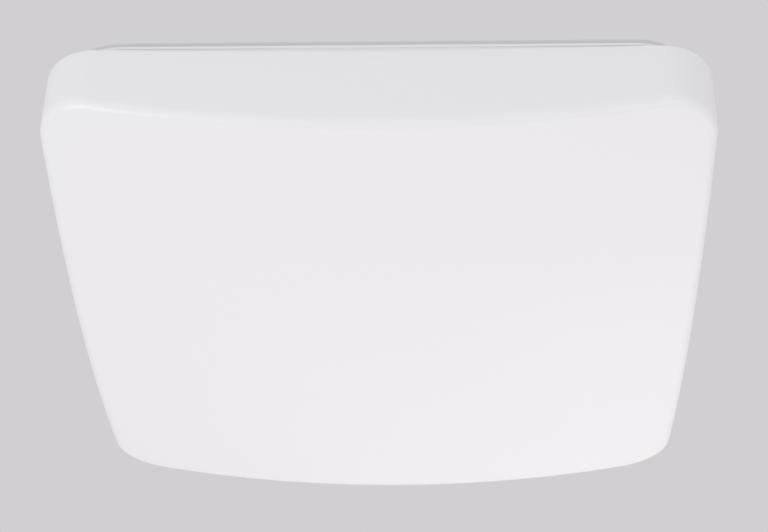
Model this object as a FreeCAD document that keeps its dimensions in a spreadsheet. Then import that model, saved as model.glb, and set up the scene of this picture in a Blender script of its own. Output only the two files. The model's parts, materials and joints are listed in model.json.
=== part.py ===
"""Square flush mount ceiling light: a pressed steel base pan, an opal shade held by four spring
clips, four rows of light sources with lenses, a driver and a lever terminal block.

Millimetres, +Z up.  The origin is the centre of the pan's back, on the ceiling plane, and the light
hangs below it, so every piece has z of 0 or less.
"""

import FreeCAD, Part
import math
import os
import types

import Sketcher
from FreeCAD import Placement, Rotation, Vector

# ---------------------------------------------------------------- driving dimensions

DIMENSIONS = (
    # the shade
    ("shade_width", 350.0),
    ("shade_corner", 29.0),
    ("shade_depth", 72.0),
    ("shade_wall", 3.0),
    ("crown_radius", 806.0),
    ("crease_radius", 6.0),
    ("rim_level", 9.2),
    ("rim_round", 1.5),
    ("bead_width", 3.0),
    ("bead_height", 5.0),
    ("relief_chord", 280.0),
    ("relief_rise", 1.8),
    ("relief_depth", 2.0),
    # the base pan
    ("pan_inset", 6.0),
    ("pan_corner", 36.0),
    ("pan_sheet", 0.8),
    ("pan_raise", 3.0),
    ("border_width", 7.0),
    ("flange_reach", 4.0),
    ("flange_hem", 1.7),
    ("gasket_height", 1.3),
    ("gasket_width", 3.0),
    ("gasket_setback", 0.6),
    ("rib_length", 280.0),
    ("rib_width", 6.0),
    ("rib_height", 1.4),
    ("rib_gap", 2.0),
    ("fixing_spacing", 200.0),
    ("fixing_slot_width", 5.5),
    ("fixing_slot_length", 14.0),
    ("fixing_seat_radius", 13.0),
    # the cable entry
    ("entry_bore", 5.0),
    ("entry_hole", 11.0),
    ("entry_flange", 14.0),
    ("entry_lip", 1.6),
    ("cable_height", 7.0),
    ("clamp_centre_x", 30.0),
    ("clamp_length", 10.0),
    ("clamp_strap", 1.6),
    ("clamp_foot", 8.0),
    # the spring clips
    ("clip_strip", 0.6),
    ("clip_width", 24.0),
    ("clip_foot", 19.0),
    ("clip_leg_inset", 8.0),
    ("clip_nose_reach", 4.6),
    ("clip_slope_drop", 5.0),
    ("clip_tail_drop", 6.0),
    ("clip_gap", 0.3),
    ("rivet_radius", 1.6),
    ("rivet_head_radius", 3.0),
    ("rivet_head_height", 1.3),
    ("rivet_pitch", 14.0),
    # the boards and their light sources
    ("board_length", 300.0),
    ("board_width", 18.0),
    ("board_thickness", 1.2),
    ("board_corner", 2.0),
    ("board_rim_gap", 45.0),
    ("board_row_gap", 55.0),
    ("lens_pitch", 48.0),
    ("lens_end_margin", 30.0),
    ("lens_radius", 6.5),
    ("lens_height", 6.0),
    ("lens_cavity_radius", 2.7),
    ("lens_cavity_height", 1.6),
    ("source_length", 3.5),
    ("source_width", 2.8),
    ("source_height", 0.8),
    ("socket_setback", 12.0),
    ("socket_length", 7.0),
    ("socket_width", 8.0),
    ("socket_height", 4.0),
    # screws
    ("small_screw_radius", 1.5),
    ("small_head_radius", 2.9),
    ("small_head_height", 2.0),
    ("screw_end_gap", 1.0),
    ("screw_hole_clearance", 0.15),
    # the driver
    ("driver_length", 104.0),
    ("driver_width", 50.0),
    ("driver_case_height", 18.0),
    ("driver_wall", 1.5),
    ("driver_corner", 3.0),
    ("driver_lid_plate", 2.0),
    ("driver_ear", 8.0),
    ("driver_ear_width", 14.0),
    ("driver_post_height", 3.0),
    ("driver_post_radius", 2.5),
    ("driver_board_thickness", 1.6),
    ("driver_board_margin", 1.0),
    ("driver_socket_length", 10.0),
    ("driver_socket_width", 16.0),
    ("driver_socket_height", 8.0),
    ("driver_lead_spread", 4.0),
    ("transformer_length", 18.0),
    ("transformer_width", 14.0),
    ("transformer_height", 10.0),
    ("transformer_step", 1.5),
    ("transformer_core", 6.0),
    ("transformer_x", 2.0),
    ("transformer_y", 5.0),
    ("choke_radius", 7.5),
    ("choke_bore", 3.0),
    ("choke_height", 6.0),
    ("choke_round", 1.6),
    ("choke_x", 27.0),
    ("choke_y", -9.0),
    ("input_capacitor_radius", 5.0),
    ("input_capacitor_height", 10.5),
    ("input_capacitor_x", 22.0),
    ("input_capacitor_y", 12.0),
    ("output_capacitor_radius", 4.0),
    ("output_capacitor_height", 9.5),
    ("output_capacitor_x", -20.0),
    ("output_capacitor_y", -10.0),
    ("output_capacitor_gap", 1.5),
    ("chip_height", 1.8),
    ("piece_clearance", 0.3),
    # the terminal block
    ("block_centre_x", 55.0),
    ("block_length", 32.0),
    ("block_height", 15.0),
    ("block_end_wall", 2.5),
    ("pole_pitch", 8.0),
    ("lever_width", 6.2),
    ("lever_length", 14.0),
    ("lever_barrel", 1.6),
    ("lever_web", 0.8),
    ("lever_pin_radius", 0.9),
    ("lever_pin_reach", 0.5),
    ("lever_pin_clearance", 0.05),
    ("lever_side_gap", 0.2),
    ("lever_grip", 1.2),
    ("block_ear", 7.0),
    ("block_ear_width", 8.4),
    ("block_corner", 1.0),
    ("chamber_roof", 1.0),
    ("contact_bar", 1.0),
    ("contact_leaf", 0.5),
    ("mains_wire_hole", 2.2),
    # the earth bond
    ("earth_screw_x", 92.0),
    ("earth_screw_radius", 2.0),
    ("earth_head_radius", 3.8),
    ("earth_head_height", 2.6),
    ("earth_ring_radius", 4.4),
    ("earth_ring_sheet", 0.8),
    ("earth_washer_sheet", 0.7),
    ("earth_barrel_radius", 1.7),
    ("earth_barrel_start", 6.0),
    ("earth_barrel_end", 13.0),
    # the leads
    ("mains_lead_radius", 1.0),
    ("live_run", 18.0),
    ("live_leave", 30.0),
    ("live_reach", 14.0),
    ("neutral_run", 24.0),
    ("neutral_leave", 20.0),
    ("neutral_reach", 9.0),
    ("earth_run", 16.0),
    ("mains_lead_drop", 4.8),
    ("led_lead_radius", 1.1),
    ("lead_clip_width", 7.0),
    ("lead_clip_length", 8.0),
    ("lead_clip_wall", 1.4),
    ("lead_clip_gap", 0.1),
)

# the small flat parts on the driver's board: x and y from its middle, length, width
CHIPS = (
    (2.0, -12.0, 5.0, 4.0),
    (-8.0, -16.0, 3.0, 2.0),
    (-14.0, 14.0, 4.5, 3.2),
    (36.0, 13.0, 1.6, 3.2),
    (-26.0, 6.0, 3.2, 1.6),
    (-30.0, 14.0, 3.2, 1.6),
)
# each spring clip's name with its turn about Z
CLIP_TURNS = (("right", 0), ("far", 90), ("left", 180), ("near", 270))

# shares of a fastener's head: its rounding, its recess and the head set behind a rivet
HEAD_ROUNDING = 0.6
RECESS_ARM = 0.55
RECESS_HALF_WIDTH = 0.12
RECESS_DEPTH = 0.5
SET_HEAD = 0.85
# share of a lead's shorter run that a bend may use
BEND_SHARE = 0.45
TINY = 1e-7
SAME_PLACE = 1e-4


class Size:
    """A number together with the sheet expression that it comes from."""

    def __init__(self, value, text=None):
        self.value = float(value)
        self.text = repr(self.value) if text is None else text

    @staticmethod
    def of(other):
        """Return a Size for a Size or a plain number."""
        return other if isinstance(other, Size) else Size(other)

    def _joined(self, other, sign, value):
        return Size(value, f"({self.text} {sign} {Size.of(other).text})")

    def __add__(self, other):
        return self._joined(other, "+", self.value + Size.of(other).value)

    def __sub__(self, other):
        return self._joined(other, "-", self.value - Size.of(other).value)

    def __mul__(self, other):
        return self._joined(other, "*", self.value * Size.of(other).value)

    def __truediv__(self, other):
        return self._joined(other, "/", self.value / Size.of(other).value)

    def __rsub__(self, other):
        return Size.of(other) - self

    def __neg__(self):
        return Size(0.0) - self

    __radd__ = __add__
    __rmul__ = __mul__


def make_sheet(document):
    """Write the driving dimensions to the document's sheet and return them as named sizes."""
    sheet = document.addObject("Spreadsheet::Sheet", "Sizes")
    named = types.SimpleNamespace()
    for row, (alias, value) in enumerate(DIMENSIONS, start=1):
        sheet.set(f"A{row}", alias)
        sheet.set(f"B{row}", str(value))
        sheet.setAlias(f"B{row}", alias)
        setattr(named, alias, Size(value, f"Sizes.{alias}"))
    document.recompute()
    return named


# ---------------------------------------------------------------- sketches and features

PLANES = {"XY": "XY_Plane", "XZ": "XZ_Plane", "YZ": "YZ_Plane"}


def bind(thing, path, size):
    """Tie one property to the sheet."""
    thing.setExpression(path, Size.of(size).text)


def origin_feature(body, role):
    """Return the plane or axis of a body's own origin that has this role."""
    return next(item for item in body.Origin.OriginFeatures if item.Role == role)


def new_body(document, label):
    """Return an empty body whose label names its piece."""
    body = document.addObject("PartDesign::Body", label)
    body.Label = label
    return body


def new_sketch(body, plane, offset):
    """Attach a sketch to one of the body's origin planes, moved along the plane's normal."""
    sketch = body.newObject("Sketcher::SketchObject", "outline")
    sketch.AttachmentSupport = [(origin_feature(body, PLANES[plane]), "")]
    sketch.MapMode = "FlatFace"
    bind(sketch, "AttachmentOffset.Base.z", offset)
    return sketch


def pin_point(sketch, geometry, point, x=None, y=None):
    """Hold a point of the sketch at x, y from its origin."""
    for kind, size in (("DistanceX", x), ("DistanceY", y)):
        if size is None:
            continue
        size = Size.of(size)
        index = sketch.addConstraint(Sketcher.Constraint(kind, -1, 1, geometry, point, size.value))
        bind(sketch, f"Constraints[{index}]", size)


def flat(point):
    """Return a point's plain numbers as a vector in the sketch."""
    return Vector(Size.of(point[0]).value, Size.of(point[1]).value, 0)


def draw_circle(sketch, centre, radius):
    """Draw a circle and tie its centre and radius."""
    radius = Size.of(radius)
    circle = sketch.addGeometry(Part.Circle(flat(centre), Vector(0, 0, 1), radius.value), False)
    pin_point(sketch, circle, 3, *centre)
    index = sketch.addConstraint(Sketcher.Constraint("Radius", circle, radius.value))
    bind(sketch, f"Constraints[{index}]", radius)


def draw_path(sketch, corners):
    """Draw a closed outline through corners, tying each of them.

    A corner is (x, y), reached from the one before it by a line, or (x, y, centre_x, centre_y, held,
    way), reached by an arc about that centre; held says which coordinate of the centre is tied ("x" or
    "y"), the other one following from the two ends, and way is "ccw" or "cw".
    """
    count = len(corners)
    pieces = []
    for index in range(count):
        start, end = corners[index - 1], corners[index]
        if len(end) == 2:
            piece = sketch.addGeometry(Part.LineSegment(flat(start), flat(end)), False)
            pieces.append((piece, 1, 2))
            continue
        centre = flat(end[2:4])
        first, last = (start, end) if end[5] == "ccw" else (end, start)
        angles = [math.atan2(*(flat(item) - centre)[1::-1]) for item in (first, last)]
        radius = (flat(start) - centre).Length
        circle = Part.Circle(centre, Vector(0, 0, 1), radius)
        piece = sketch.addGeometry(Part.ArcOfCircle(circle, *angles), False)
        pieces.append((piece, 1, 2) if end[5] == "ccw" else (piece, 2, 1))
        pin_point(sketch, piece, 3, **{end[4]: end[2] if end[4] == "x" else end[3]})
    for index in range(count):
        piece, _, end_point = pieces[index]
        following, start_point, _ = pieces[(index + 1) % count]
        sketch.addConstraint(Sketcher.Constraint("Coincident", piece, end_point, following, start_point))
        pin_point(sketch, piece, end_point, *corners[index][:2])


def draw_box(sketch, low, high):
    """Draw a rectangle from its low corner to its high one."""
    draw_path(sketch, [low, (high[0], low[1]), high, (low[0], high[1])])


def draw_rounded_box(sketch, centre, half_x, half_y, radius):
    """Draw a rectangle whose corners are arcs of one radius."""
    radius = Size.of(radius)
    across, along = half_x - radius, half_y - radius
    quarters = ((1, 1, 0), (-1, 1, 1), (-1, -1, 2), (1, -1, 3))
    arcs = []
    for side_x, side_y, quarter in quarters:
        middle = (centre[0] + across * side_x, centre[1] + along * side_y)
        circle = Part.Circle(flat(middle), Vector(0, 0, 1), radius.value)
        turn = quarter * math.pi / 2
        arc = sketch.addGeometry(Part.ArcOfCircle(circle, turn, turn + math.pi / 2), False)
        pin_point(sketch, arc, 3, *middle)
        index = sketch.addConstraint(Sketcher.Constraint("Radius", arc, radius.value))
        bind(sketch, f"Constraints[{index}]", radius)
        arcs.append(arc)
    for index, arc in enumerate(arcs):
        following = arcs[(index + 1) % 4]
        ends = [sketch.getPoint(arc, 2), sketch.getPoint(following, 1)]
        line = sketch.addGeometry(Part.LineSegment(*ends), False)
        sketch.addConstraint(Sketcher.Constraint("Tangent", arc, 2, line, 1))
        sketch.addConstraint(Sketcher.Constraint("Tangent", line, 2, following, 1))


def extrude(body, plane, draw, low, high, cut=False):
    """Pad an outline from low to high along the plane's axis, or cut it away there.

    draw takes the new sketch and draws its loops.  An XZ sketch looks along -Y, so it lies at the high
    end and runs back to the low one.
    """
    sketch = new_sketch(body, plane, -Size.of(high) if plane == "XZ" else low)
    draw(sketch)
    before = body.Shape.Volume if cut else 0.0
    feature = body.newObject("PartDesign::Pocket" if cut else "PartDesign::Pad", "step")
    feature.Profile = sketch
    feature.Reversed = cut
    bind(feature, "Length", Size.of(high) - low)
    body.Tip = feature
    body.Document.recompute()
    if cut and body.Shape.Volume > before - TINY:
        raise RuntimeError(f"{body.Label}: a cut took nothing away")


def revolve(body, draw):
    """Turn an outline in the XZ plane once round the body's Z axis."""
    sketch = new_sketch(body, "XZ", 0.0)
    draw(sketch)
    feature = body.newObject("PartDesign::Revolution", "turned")
    feature.Profile = sketch
    feature.ReferenceAxis = (sketch, ["V_Axis"])
    feature.Angle = 360.0
    body.Tip = feature
    body.Document.recompute()


def round_edges(body, chosen, radius):
    """Round the edges of the body's newest feature that chosen accepts."""
    base = body.Tip
    names = [f"Edge{number}" for number, edge in enumerate(base.Shape.Edges, start=1) if chosen(edge)]
    if not names:
        raise RuntimeError(f"{body.Label}: no edge to round")
    feature = body.newObject("PartDesign::Fillet", "rounding")
    feature.Base = (base, names)
    bind(feature, "Radius", radius)
    body.Tip = feature
    body.Document.recompute()


def repeat_along(body, axis, pitch, count):
    """Repeat everything in the body along X or Y, one pitch apart."""
    pattern = body.newObject("PartDesign::LinearPattern", "row")
    pattern.Originals = [body.Tip]
    pattern.Direction = (origin_feature(body, f"{axis}_Axis"), [""])
    pattern.Occurrences = count
    bind(pattern, "Length", pitch * (count - 1))
    body.Tip = pattern
    body.Document.recompute()


def put(body, x=0.0, y=0.0, z=0.0, turn=0.0):
    """Place a body, its position tied to the sheet, turned about Z by whole degrees."""
    body.Placement = Placement(Vector(0, 0, 0), Rotation(Vector(0, 0, 1), turn))
    for letter, size in (("x", x), ("y", y), ("z", z)):
        bind(body, f".Placement.Base.{letter}", size)
    return body


def subtract(document, label, base, tool):
    """Return base with tool taken away."""
    result = document.addObject("Part::Cut", label)
    result.Label = label
    result.Base = base
    result.Tool = tool
    document.recompute()
    return result


def level_edge(level):
    """Accept the edges that lie wholly at one height."""
    return lambda edge: all(abs(vertex.Z - level.value) < SAME_PLACE for vertex in edge.Vertexes)


# ---------------------------------------------------------------- sizes that follow from others

def derive(d):
    """Add the places and sizes that several pieces share."""
    d.shade_half = d.shade_width / 2
    d.rim = -d.rim_level
    d.face = d.rim - d.shade_depth
    d.pan_half = d.shade_half - d.pan_inset
    d.floor = -(d.pan_raise + d.pan_sheet)
    d.platform_half = d.pan_half - d.border_width
    d.flange_low = d.rim + d.gasket_height
    d.flange_top = d.flange_low + d.flange_hem
    d.bead_half = d.shade_half - d.shade_wall - d.bead_width
    d.bead_low = d.rim - d.bead_height
    d.board_face = d.floor - d.board_thickness
    d.board_outer_row = d.shade_half - d.board_rim_gap
    d.board_inner_row = d.board_outer_row - d.board_row_gap
    # as many sources as fit between the board's two end margins
    lens_run = d.board_length - d.lens_end_margin * 2
    d.sources = int((lens_run / d.lens_pitch).value + TINY) + 1
    d.first_source_x = d.lens_pitch * (1 - d.sources) / 2
    d.screw_top = -d.screw_end_gap
    d.socket_middle = d.board_face - d.socket_height / 2
    d.socket_outer = d.board_length / 2 - d.socket_setback
    # the driver lies midway between the cable hole's bush and the left clip's foot
    d.clip_inner = d.shade_half - d.clip_leg_inset - d.clip_foot
    d.driver_centre_x = -(d.entry_flange + d.clip_inner) / 2
    d.driver_low_x = d.driver_centre_x - d.driver_length / 2
    d.driver_high_x = d.driver_centre_x + d.driver_length / 2
    d.driver_rim = d.floor - d.driver_case_height
    d.driver_board_top = d.floor - d.driver_wall - d.driver_post_height
    d.driver_board_face = d.driver_board_top - d.driver_board_thickness
    d.driver_socket_middle = d.driver_board_face - d.driver_socket_height / 2
    # the ribs lie midway between the driver's ears and the inner boards
    driver_side = d.driver_width / 2 + d.driver_ear
    d.rib_offset = (driver_side + d.board_inner_row - d.board_width / 2) / 2
    d.clamp_outer = d.entry_bore + d.clamp_strap
    d.rib_near_edge = d.rib_offset - d.rib_width / 2 - d.rib_gap
    d.clamp_centre_y = d.clamp_outer + d.clamp_foot - d.rib_near_edge
    d.led_clip_y = d.rib_near_edge - d.lead_clip_length / 2
    d.recess_width = d.lever_width + d.lever_side_gap * 2
    d.block_width = d.pole_pitch * 2 + d.recess_width + d.block_end_wall * 2
    d.block_face = d.floor - d.block_height
    d.wire_level = d.floor - d.block_height / 2
    d.lever_pivot_y = -d.block_length / 2 + d.block_end_wall + d.lever_barrel + d.piece_clearance
    d.lever_pivot_z = d.block_face + d.lever_barrel + d.lever_side_gap / 2
    d.screw_hole = d.small_screw_radius + d.screw_hole_clearance
    return d


def board_rows(d):
    """Return the four boards' row positions, from the near side to the far one."""
    return (-d.board_outer_row, -d.board_inner_row, d.board_inner_row, d.board_outer_row)


def board_screw_spots(d):
    """Return where each board is screwed down, as offsets along it: midway between its last lenses."""
    offset = d.lens_pitch * (d.sources / 2 - 1)
    return (-offset, offset)


def turned(x, y, turn):
    """Turn a place about Z by a whole number of quarters."""
    return {0: (x, y), 90: (-y, x), 180: (-x, -y), 270: (y, -x)}[turn]


def rivet_spots(d):
    """Return the centres of the clip rivets."""
    inset = d.clip_inner + d.rivet_head_radius * 2
    return [
        turned(inset, d.rivet_pitch / 2 * side, turn) for _, turn in CLIP_TURNS for side in (-1, 1)
    ]


def driver_screw_spots(d):
    """Return the centres of the two screws in the driver's ears."""
    reach = d.driver_width / 2 + d.driver_ear / 2
    return [(d.driver_centre_x, -reach), (d.driver_centre_x, reach)]


def block_screw_spots(d):
    """Return the centres of the two screws in the terminal block's ears."""
    reach = d.block_width / 2 + d.block_ear / 2
    return [(d.block_centre_x - reach, Size(0)), (d.block_centre_x + reach, Size(0))]


def clamp_screw_spots(d):
    """Return the centres of the cable clamp's screws."""
    reach = d.clamp_outer + d.clamp_foot / 2
    return [(d.clamp_centre_x, d.clamp_centre_y + reach * side) for side in (-1, 1)]


def lead_clip_spots(d):
    """Return the centres of the clips that hold the leads beside the boards' ends."""
    line = lead_line_x(d)
    link = (d.board_inner_row + d.board_outer_row) / 2
    return [(-line, -d.led_clip_y), (-line, d.led_clip_y), (line, -link), (line, link)]


def lead_line_x(d):
    """Return how far from the middle the leads run beside the boards' ends."""
    return d.platform_half - d.lead_clip_width


# ---------------------------------------------------------------- the shade

def crowned_block(document, label, half, corner, top, face, radius, crease):
    """Return a rounded square block whose lower end is a shallow dome with a rounded crease."""
    body = new_body(document, label)
    deep = face - crease
    extrude(body, "XY", lambda s: draw_rounded_box(s, (0, 0), half, half, corner), deep, top)
    sketch = new_sketch(body, "XZ", 0.0)
    reach = half * 1.5  # past the corners, which lie at 1.41 times half
    centre = face + radius
    edge_value = centre.value - math.sqrt(radius.value**2 - reach.value**2)
    edge = Size(edge_value, f"({centre.text} - sqrt({radius.text}^2 - {reach.text}^2))")
    low = deep - crease
    draw_path(
        sketch,
        [(Size(0), low), (reach, low), (reach, edge), (Size(0), face, Size(0), centre, "x", "cw")],
    )
    groove = body.newObject("PartDesign::Groove", "dome")
    groove.Profile = sketch
    groove.ReferenceAxis = (sketch, ["V_Axis"])
    groove.Angle = 360.0
    body.Tip = groove
    document.recompute()
    domes = [item for item in groove.Shape.Faces if isinstance(item.Surface, Part.Sphere)]
    dome_edges = [edge for dome in domes for edge in dome.Edges]

    def on_crease(edge):
        middle = edge.valueAt((edge.FirstParameter + edge.LastParameter) / 2)
        inside = max(abs(middle.x), abs(middle.y)) < half.value - 0.5 * corner.value
        return any(edge.isSame(other) for other in dome_edges) and not inside

    round_edges(body, on_crease, crease)
    return body


def diffuser(document, d):
    """Build the opal shade: a thin shell open at the top, with an inner bead at its rim."""
    outer = crowned_block(
        document, "shade_outside", d.shade_half, d.shade_corner, d.rim, d.face, d.crown_radius,
        d.crease_radius,
    )
    round_edges(outer, level_edge(d.rim), d.rim_round)
    inner = crowned_block(
        document, "shade_inside", d.shade_half - d.shade_wall, d.shade_corner - d.shade_wall,
        d.bead_low, d.face + d.shade_wall, d.crown_radius - d.shade_wall,
        d.crease_radius - d.shade_wall,
    )
    extrude(
        inner, "XY",
        lambda s: draw_rounded_box(s, (0, 0), d.bead_half, d.bead_half, d.pan_corner),
        d.bead_low - d.shade_wall, d.rim + d.shade_wall,
    )
    shell = subtract(document, "shade_shell", outer, inner)
    return subtract(document, "diffuser", shell, rim_relief(document, d))


def rim_relief(document, d):
    """Build the four long shallow arcs that are taken off the rim's outer edge."""
    body = new_body(document, "rim_relief")
    half = d.relief_chord / 2
    radius = (half * half + d.relief_rise * d.relief_rise) / (d.relief_rise * 2)
    above = d.rim + d.relief_rise

    def segment(sketch):
        draw_path(
            sketch,
            [
                (half, above),
                (-half, above),
                (-half, d.rim),
                (half, d.rim, Size(0), d.rim - d.relief_rise + radius, "y", "ccw"),
            ],
        )

    extrude(
        body, "XZ", segment, -d.shade_half - d.relief_depth, -d.shade_half + d.relief_depth
    )
    pattern = body.newObject("PartDesign::PolarPattern", "four_sides")
    pattern.Originals = [body.Tip]
    pattern.Axis = (origin_feature(body, "Z_Axis"), [""])
    pattern.Angle = 360.0
    pattern.Occurrences = 4
    body.Tip = pattern
    document.recompute()
    return body


# ---------------------------------------------------------------- the base pan and its seal

def base_pan(document, d):
    """Build the pressed tray: raised floor, rim skirt, hemmed flange, fixing seats and holes."""
    body = new_body(document, "base_pan")

    def rounded(half, corner):
        return lambda s: draw_rounded_box(s, (0, 0), half, half, corner)

    def ring(outer, outer_corner, inner, inner_corner):
        def both(sketch):
            draw_rounded_box(sketch, (0, 0), outer, outer, outer_corner)
            draw_rounded_box(sketch, (0, 0), inner, inner, inner_corner)

        return both

    sheet = d.pan_sheet
    platform_corner = d.pan_corner - d.border_width
    # skirt and border
    extrude(body, "XY", rounded(d.pan_half, d.pan_corner), -sheet, 0.0)
    extrude(
        body, "XY", ring(d.pan_half, d.pan_corner, d.pan_half - sheet, d.pan_corner - sheet),
        d.flange_low, -sheet,
    )
    extrude(
        body, "XY",
        ring(
            d.pan_half + d.flange_reach, d.pan_corner + d.flange_reach,
            d.pan_half - sheet, d.pan_corner - sheet,
        ),
        d.flange_low, d.flange_top,
    )
    # raised floor
    extrude(body, "XY", rounded(d.platform_half, platform_corner), d.floor, -sheet)
    extrude(
        body, "XY", rounded(d.platform_half - sheet, platform_corner - sheet),
        -d.pan_raise, 0.0, cut=True,
    )
    # fixing seats reach back to the ceiling
    spots = [
        (d.fixing_spacing / 2 * side_x, d.fixing_spacing / 2 * side_y)
        for side_x in (-1, 1)
        for side_y in (-1, 1)
    ]

    def discs(radius):
        def draw(sketch):
            for spot in spots:
                draw_circle(sketch, spot, radius)

        return draw

    extrude(body, "XY", discs(d.fixing_seat_radius), d.floor, 0.0)
    extrude(body, "XY", discs(d.fixing_seat_radius - sheet), d.floor, -sheet, cut=True)

    def slots(sketch):
        half_x, half_y = d.fixing_slot_length / 2, d.fixing_slot_width / 2
        end = half_x - half_y
        for x, y in spots:
            draw_path(
                sketch,
                [
                    (x + end, y - half_y),
                    (x + end, y + half_y, x + end, y, "x", "ccw"),
                    (x - end, y + half_y),
                    (x - end, y - half_y, x - end, y, "x", "ccw"),
                ],
            )

    extrude(body, "XY", slots, -sheet * 2, 0.0, cut=True)
    # stiffening ribs, pressed from the back
    for side in (-1, 1):
        middle = d.rib_offset * side

        def rib(length, width, middle=middle):
            round_end = width * 0.49  # just under half, so that a short flat is left to tie
            return lambda s: draw_rounded_box(s, (0, middle), length / 2, width / 2, round_end)

        extrude(body, "XY", rib(d.rib_length, d.rib_width), d.floor - d.rib_height, d.floor)
        groove_length, groove_width = d.rib_length - sheet * 2, d.rib_width - sheet * 2
        extrude(
            body, "XY", rib(groove_length, groove_width),
            d.floor - d.rib_height + sheet, -d.pan_raise, cut=True,
        )

    def holes(sketch):
        draw_circle(sketch, (Size(0), Size(0)), d.entry_hole)
        for row in board_rows(d):
            for offset in board_screw_spots(d):
                draw_circle(sketch, (offset, row), d.screw_hole)
        for spot in driver_screw_spots(d) + block_screw_spots(d) + clamp_screw_spots(d):
            draw_circle(sketch, spot, d.screw_hole)
        for spot in rivet_spots(d):
            draw_circle(sketch, spot, d.rivet_radius + d.screw_hole_clearance)
        draw_circle(
            sketch, (d.earth_screw_x, Size(0)), d.earth_screw_radius + d.screw_hole_clearance
        )

    extrude(body, "XY", holes, d.floor - sheet, 0.0, cut=True)
    return body


def rim_gasket(document, d):
    """Build the foam seal between the pan's flange and the shade's rim."""
    body = new_body(document, "rim_gasket")
    outer = d.pan_half + d.flange_reach - d.gasket_setback
    corner = d.pan_corner + d.flange_reach - d.gasket_setback

    def ring(sketch):
        draw_rounded_box(sketch, (0, 0), outer, outer, corner)
        inner = outer - d.gasket_width
        draw_rounded_box(sketch, (0, 0), inner, inner, corner - d.gasket_width)

    extrude(body, "XY", ring, d.rim, d.flange_low)
    return body


def cable_grommet(document, d):
    """Build the rubber bush that lines the cable hole."""
    body = new_body(document, "cable_grommet")
    neck = d.entry_hole - d.screw_hole_clearance

    def section(sketch):
        draw_path(
            sketch,
            [
                (d.entry_bore, d.floor - d.entry_lip),
                (d.entry_flange, d.floor - d.entry_lip),
                (d.entry_flange, d.floor),
                (neck, d.floor),
                (neck, -d.pan_raise),
                (d.entry_flange, -d.pan_raise),
                (d.entry_flange, -d.pan_raise + d.entry_lip),
                (d.entry_bore, -d.pan_raise + d.entry_lip),
            ],
        )

    revolve(body, section)
    return body


# ---------------------------------------------------------------- clips, rivets and screws

def spring_clip(document, d, name, turn):
    """Build one leaf spring: a foot on the pan, a leg, and a nose that hooks under the bead."""
    body = new_body(document, f"spring_clip_{name}")
    strip = d.clip_strip
    outer = d.shade_half - d.clip_leg_inset
    nose = d.shade_half - d.clip_nose_reach
    run = nose - outer
    # the slope passes the bead's inner corner with the clip's gap to spare
    slope_value = math.hypot(run.value, d.clip_slope_drop.value)
    slope = Size(slope_value, f"sqrt({run.text}^2 + {d.clip_slope_drop.text}^2)")
    past = (d.bead_half - outer) * d.clip_slope_drop / run
    knee = d.bead_low + past - d.clip_gap * slope / run
    tip = knee - d.clip_slope_drop
    tail = tip - d.clip_tail_drop

    def section(sketch):
        draw_path(
            sketch,
            [
                (d.clip_inner, d.floor),
                (d.clip_inner, d.floor - strip),
                (outer - strip, d.floor - strip),
                (outer - strip, knee - strip / 2),
                (nose - strip * 1.2, tip),
                (outer - strip * 2, tail),
                (outer - strip, tail - strip / 4),
                (nose, tip),
                (outer, knee),
                (outer, d.floor),
            ],
        )

    half = d.clip_width / 2
    extrude(body, "XZ", section, -half, half)

    def holes(sketch):
        for side in (-1, 1):
            spot = (rivet_spots(d)[0][0], d.rivet_pitch / 2 * side)
            draw_circle(sketch, spot, d.rivet_radius + d.screw_hole_clearance)

    extrude(body, "XY", holes, d.floor - strip * 2, d.floor, cut=True)

    def bend(edge):
        ends = [vertex.Point for vertex in edge.Vertexes]
        if len(ends) != 2 or abs(abs(ends[0].y - ends[1].y) - d.clip_width.value) > SAME_PLACE:
            return False
        at_leg = abs(ends[0].x - outer.value) < SAME_PLACE
        at_nose = abs(ends[0].x - nose.value) < SAME_PLACE
        return at_nose or (at_leg and abs(ends[0].z - knee.value) < SAME_PLACE)

    round_edges(body, bend, strip)
    return put(body, turn=turn)


def shanks_and_heads(document, label, spots, seat, top, shank, head, head_height, recess=True):
    """Build a group of headed fasteners whose heads lie below a seat and whose shanks end at top."""
    body = new_body(document, label)

    def circles(radius):
        def draw(sketch):
            for spot in spots:
                draw_circle(sketch, spot, radius)

        return draw

    low = seat - head_height
    extrude(body, "XY", circles(shank), seat, top)
    extrude(body, "XY", circles(head), low, seat)
    round_edges(body, level_edge(low), head_height * HEAD_ROUNDING)
    if not recess:
        return body
    arm, half = head * RECESS_ARM, head * RECESS_HALF_WIDTH

    def crosses(sketch):
        for x, y in spots:
            corners = []
            for side_x, side_y in ((1, 1), (-1, 1), (-1, -1), (1, -1)):
                long_x = (x + arm * side_x, y + half * side_y)
                inner = (x + half * side_x, y + half * side_y)
                long_y = (x + half * side_x, y + arm * side_y)
                first = side_x * side_y > 0
                corners += [long_x, inner, long_y] if first else [long_y, inner, long_x]
            draw_path(sketch, corners)

    extrude(body, "XY", crosses, low, low + head_height * RECESS_DEPTH, cut=True)
    return body


def clip_rivets(document, d):
    """Build the rivets that hold the spring clips, with a set head behind the pan."""
    body = shanks_and_heads(
        document, "clip_rivets", rivet_spots(d), d.floor - d.clip_strip, -d.pan_raise,
        d.rivet_radius, d.rivet_head_radius, d.rivet_head_height, recess=False,
    )

    def circles(sketch):
        for spot in rivet_spots(d):
            draw_circle(sketch, spot, d.rivet_head_radius * SET_HEAD)

    extrude(body, "XY", circles, -d.pan_raise, -d.pan_raise + d.rivet_head_height)
    return body


def small_screws(document, d, label, spots, seat):
    """Build a group of the small pan-head screws."""
    return shanks_and_heads(
        document, label, spots, seat, d.screw_top, d.small_screw_radius, d.small_head_radius,
        d.small_head_height,
    )


def board_screws(document, d):
    """Build the screws that hold the four boards."""
    spots = [(offset, row) for row in board_rows(d) for offset in board_screw_spots(d)]
    return small_screws(document, d, "board_screws", spots, d.board_face)


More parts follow.
